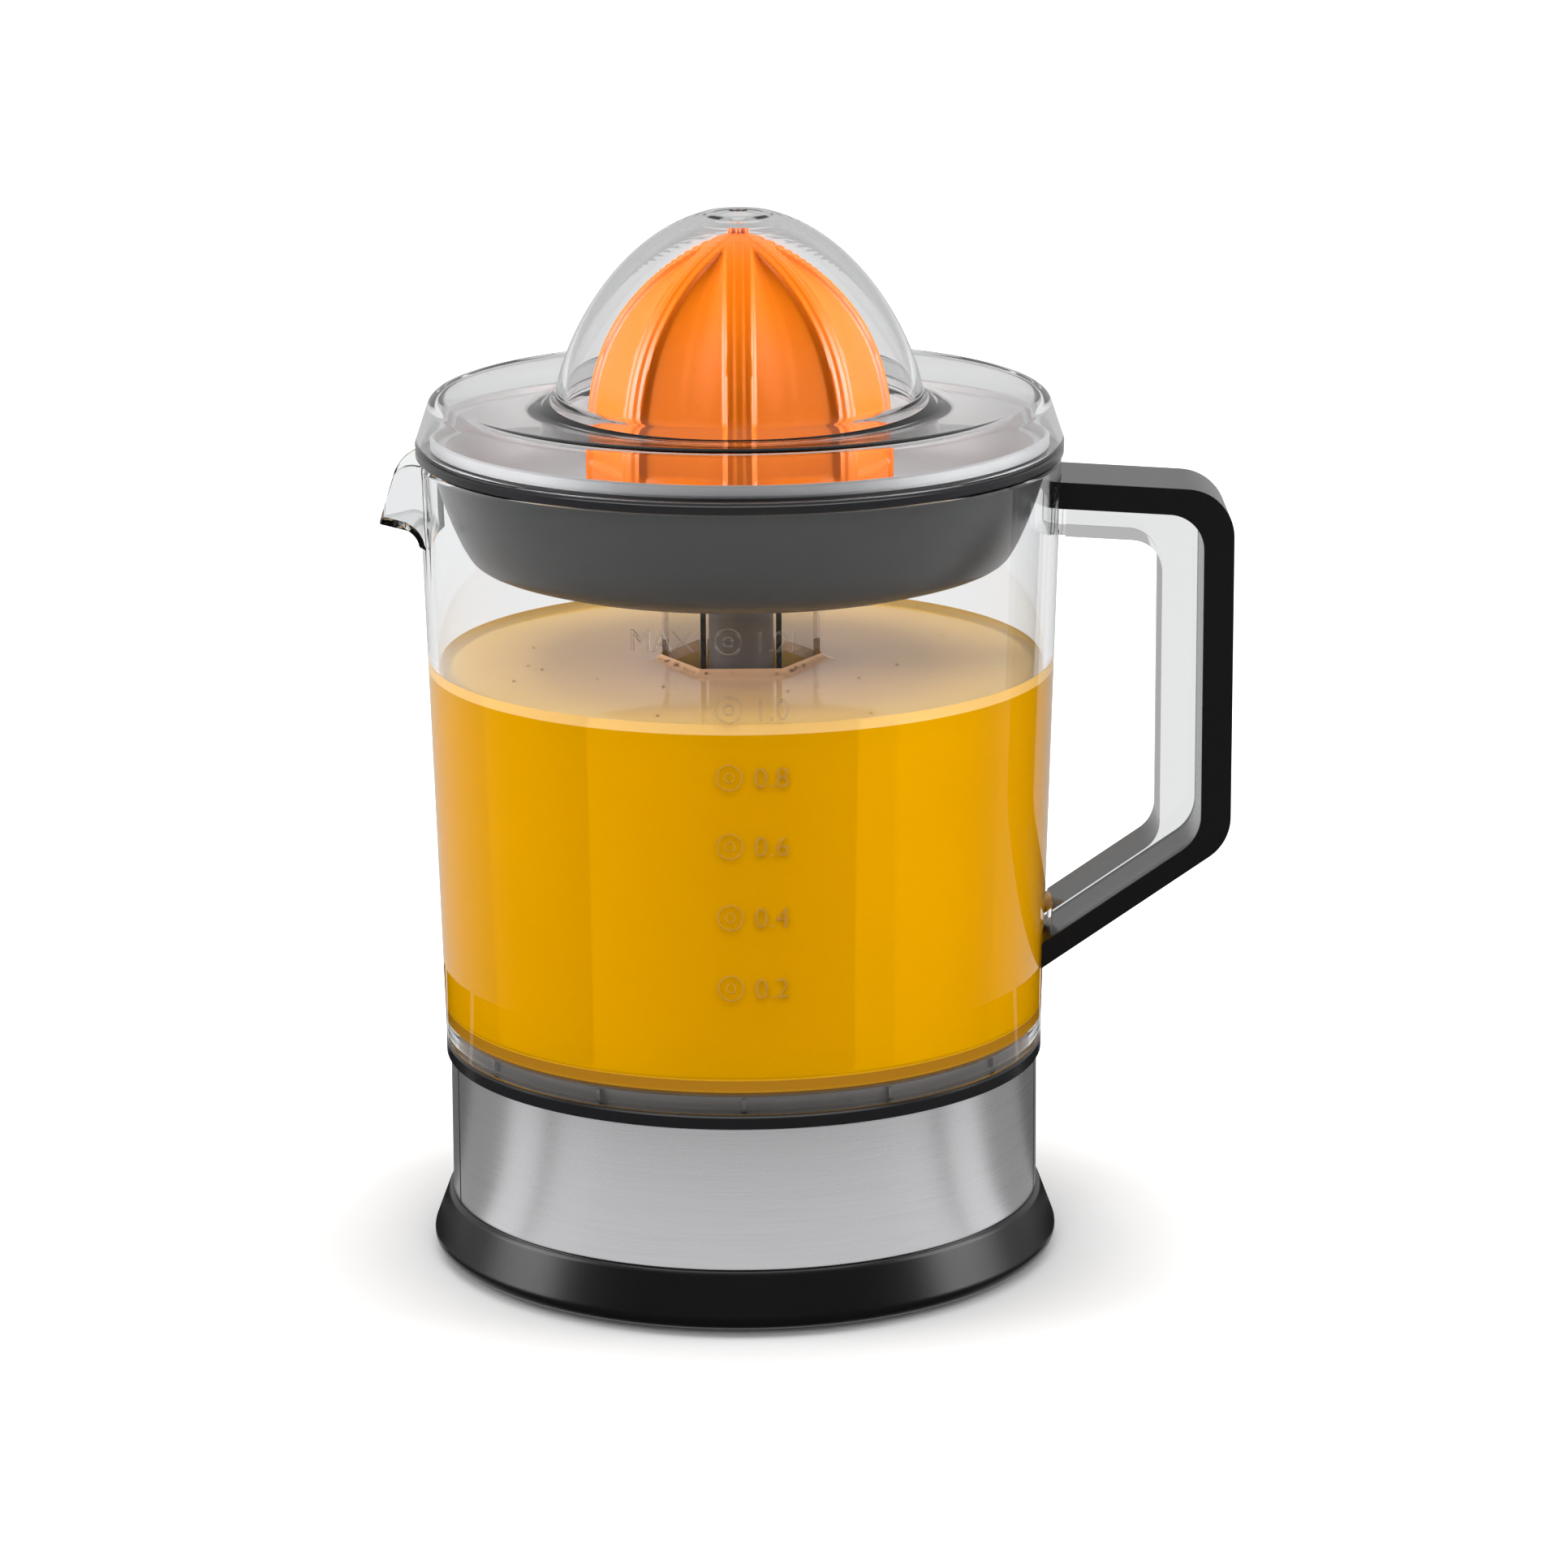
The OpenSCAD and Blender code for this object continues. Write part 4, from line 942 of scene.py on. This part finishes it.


# both floors glow least near the product: painted shade round its foot, seen directly and through the clear
# plastic
card("floor", quad(-4, 4, -3, 5, 0), glow_floor("Floor", (0.8, 0.8, 0.8), "LENGTH", 0.07, 0.2),
     True, True, True, glossy=False, trans=False)
card("floor_glow", quad(-4, 4, -3, 5, -0.005), glow_floor("Floor glow", (0, 0, 0), "LENGTH", 0.08, 0.22),
     glossy=False)
card("floor_far", quad(-30, 30, -30, 30, -0.01), stage_mat("Floor far", (0, 0, 0), 1.0),
     True, glossy=False, trans=False)


def only_for(o, name, receivers):
    """The light or glowing card o lights only these pieces."""
    c = bpy.data.collections.new(name)
    for r in receivers:
        c.objects.link(r)
    o.light_linking.receiver_collection = c


def shaded_by(o, name, blockers):
    """Only these pieces stand in the way of the light o."""
    c = bpy.data.collections.new(name)
    for b in blockers:
        c.objects.link(b)
    o.light_linking.blocker_collection = c


def ring_card(name, r_in, r_out, a0, a1, z, lum):
    """Part of a flat ring on the floor; angles count from the front, both ways."""
    for side in (-1, 1):
        pts = [(q * side * math.sin(math.radians(b)), -q * math.cos(math.radians(b)), z)
               for q, bs in ((r_in, range(a0, a1 + 1, 6)), (r_out, range(a1, a0 - 1, -6))) for b in bs]
        o = card(name, pts, stage_mat(name, (0, 0, 0), lum), trans=False)
        if lum:
            only_for(o, name, [band])


for k, (a0, a1, lum) in enumerate(((0, 48, 1.1), (48, 66, 1.15), (66, 88, 1.25), (88, 112, 0.45),
                                   (112, 145, 0.15), (145, 180, 0.7))):
    ring_card("glow_" + str(k), 0.074, 0.245, a0, a1, 0.001, lum)


def area(name, loc, target, w, h, power):
    li = bpy.data.lights.new(name, "AREA")
    li.shape, li.size, li.size_y, li.energy = "RECTANGLE", w, h, power
    o = bpy.data.objects.new(name, li)
    o.location = loc
    d = Vector(target) - Vector(loc)
    o.rotation_euler = d.to_track_quat("-Z", "Y").to_euler()
    scene.collection.objects.link(o)
    return o


# what stands behind clear plastic gets its own, stronger set of lights
INNER = {"juice", "bubbles", "bowl", "dish", "cone", "shaft_sleeve", "drive_head", "cone_coupler",
         "drive_shaft", "shaft_seal"}
meshes = [o for o in scene.objects if o.type == "MESH" and o not in (jug, fr, cover)]
inner_set = [o for o in meshes if o.name in INNER]
outer_set = [o for o in meshes if o.name not in INNER]
under_jug = [o for o in inner_set if o not in (cone, dish)]
for name, loc, w_, h_, power, seen, on in (
        ("top", (0, 0.1, 1.5), 1.9, 1.9, 22, True, outer_set),
        ("left", (-0.9, -0.02, 0.42), 0.55, 0.6, 5, True, outer_set),
        ("right", (0.9, -0.02, 0.42), 0.55, 0.6, 5, True, outer_set),
        ("front", (0, -1.3, 0.7), 1.2, 0.9, 13, False, outer_set),
        ("top_in", (0, 0.1, 1.5), 1.9, 1.9, 56, True, [o for o in inner_set if o is not cone]),
        ("top_cone", (0, 0.1, 1.5), 1.9, 1.9, 42, False, [cone]),
        ("left_in", (-0.9, -0.02, 0.42), 0.55, 0.6, 7, True, under_jug),
        ("right_in", (0.9, -0.02, 0.42), 0.55, 0.6, 7, True, under_jug),
        ("left_cone", (-0.9, -0.02, 0.42), 0.55, 0.6, 24, True, [cone]),
        ("right_cone", (0.9, -0.02, 0.42), 0.55, 0.6, 24, True, [cone]),
        ("left_dish", (-0.9, -0.02, 0.42), 0.55, 0.6, 19, True, [dish]),
        ("right_dish", (0.9, -0.02, 0.42), 0.55, 0.6, 19, True, [dish]),
        ("front_in", (0, -1.3, 0.7), 1.2, 0.9, 22, False, under_jug),
        ("juice_in", (0, 0.1, 1.5), 1.9, 1.9, 21, False, [juice]),
        ("back_in", (0, 0.9, 0.33), 0.8, 0.5, 12, False, inner_set)):
    o = area(name, loc, (0, 0, 0.1), w_, h_, power)
    o.visible_glossy = o.visible_transmission = seen
    only_for(o, "lit_by_" + name, on)
    if name == "juice_in":
        shaded_by(o, "juice_shade", [scene.objects["shaft_sleeve"]])

w = bpy.data.worlds.new("World")
scene.world = w
w.use_nodes = True
wt = w.node_tree
wc = wt.nodes.new("ShaderNodeTexCoord")
wx = wt.nodes.new("ShaderNodeSeparateXYZ")
wr = wt.nodes.new("ShaderNodeMapRange")
wr.interpolation_type = "SMOOTHSTEP"
wr.inputs["From Min"].default_value, wr.inputs["From Max"].default_value = 0.0, 0.8
wr.inputs["To Min"].default_value, wr.inputs["To Max"].default_value = 0.01, 0.6
wt.links.new(wc.outputs["Generated"], wx.inputs["Vector"])
wt.links.new(wx.outputs["Y"], wr.inputs["Value"])
wt.nodes["Background"].inputs["Color"].default_value = (1, 1, 1, 1)
wt.links.new(wr.outputs["Result"], wt.nodes["Background"].inputs["Strength"])
w.cycles_visibility.diffuse = False

# -------------------------------------------------------------------- camera
cam = bpy.data.cameras.new("Camera")
cam.lens, cam.sensor_width = 136.5, 36
cam.clip_start, cam.clip_end = 0.1, 20
co = bpy.data.objects.new("Camera", cam)
scene.collection.objects.link(co)
pitch, yaw, roll = math.radians(14.116), math.radians(0.424), math.radians(-0.301)
fwd = Vector((math.sin(yaw) * math.cos(pitch), math.cos(yaw) * math.cos(pitch), -math.sin(pitch)))
right = Vector((math.cos(yaw), -math.sin(yaw), 0))
upv = right.cross(fwd)
r2 = right * math.cos(roll) + upv * math.sin(roll)
u2 = upv * math.cos(roll) - right * math.sin(roll)
co.matrix_world = Matrix((
    (r2.x, u2.x, -fwd.x, -0.00017), (r2.y, u2.y, -fwd.y, -1.2907), (r2.z, u2.z, -fwd.z, 0.4308),
    (0, 0, 0, 1)))
scene.camera = co
scene.view_settings.view_transform = "Standard"
scene.view_settings.look = "None"
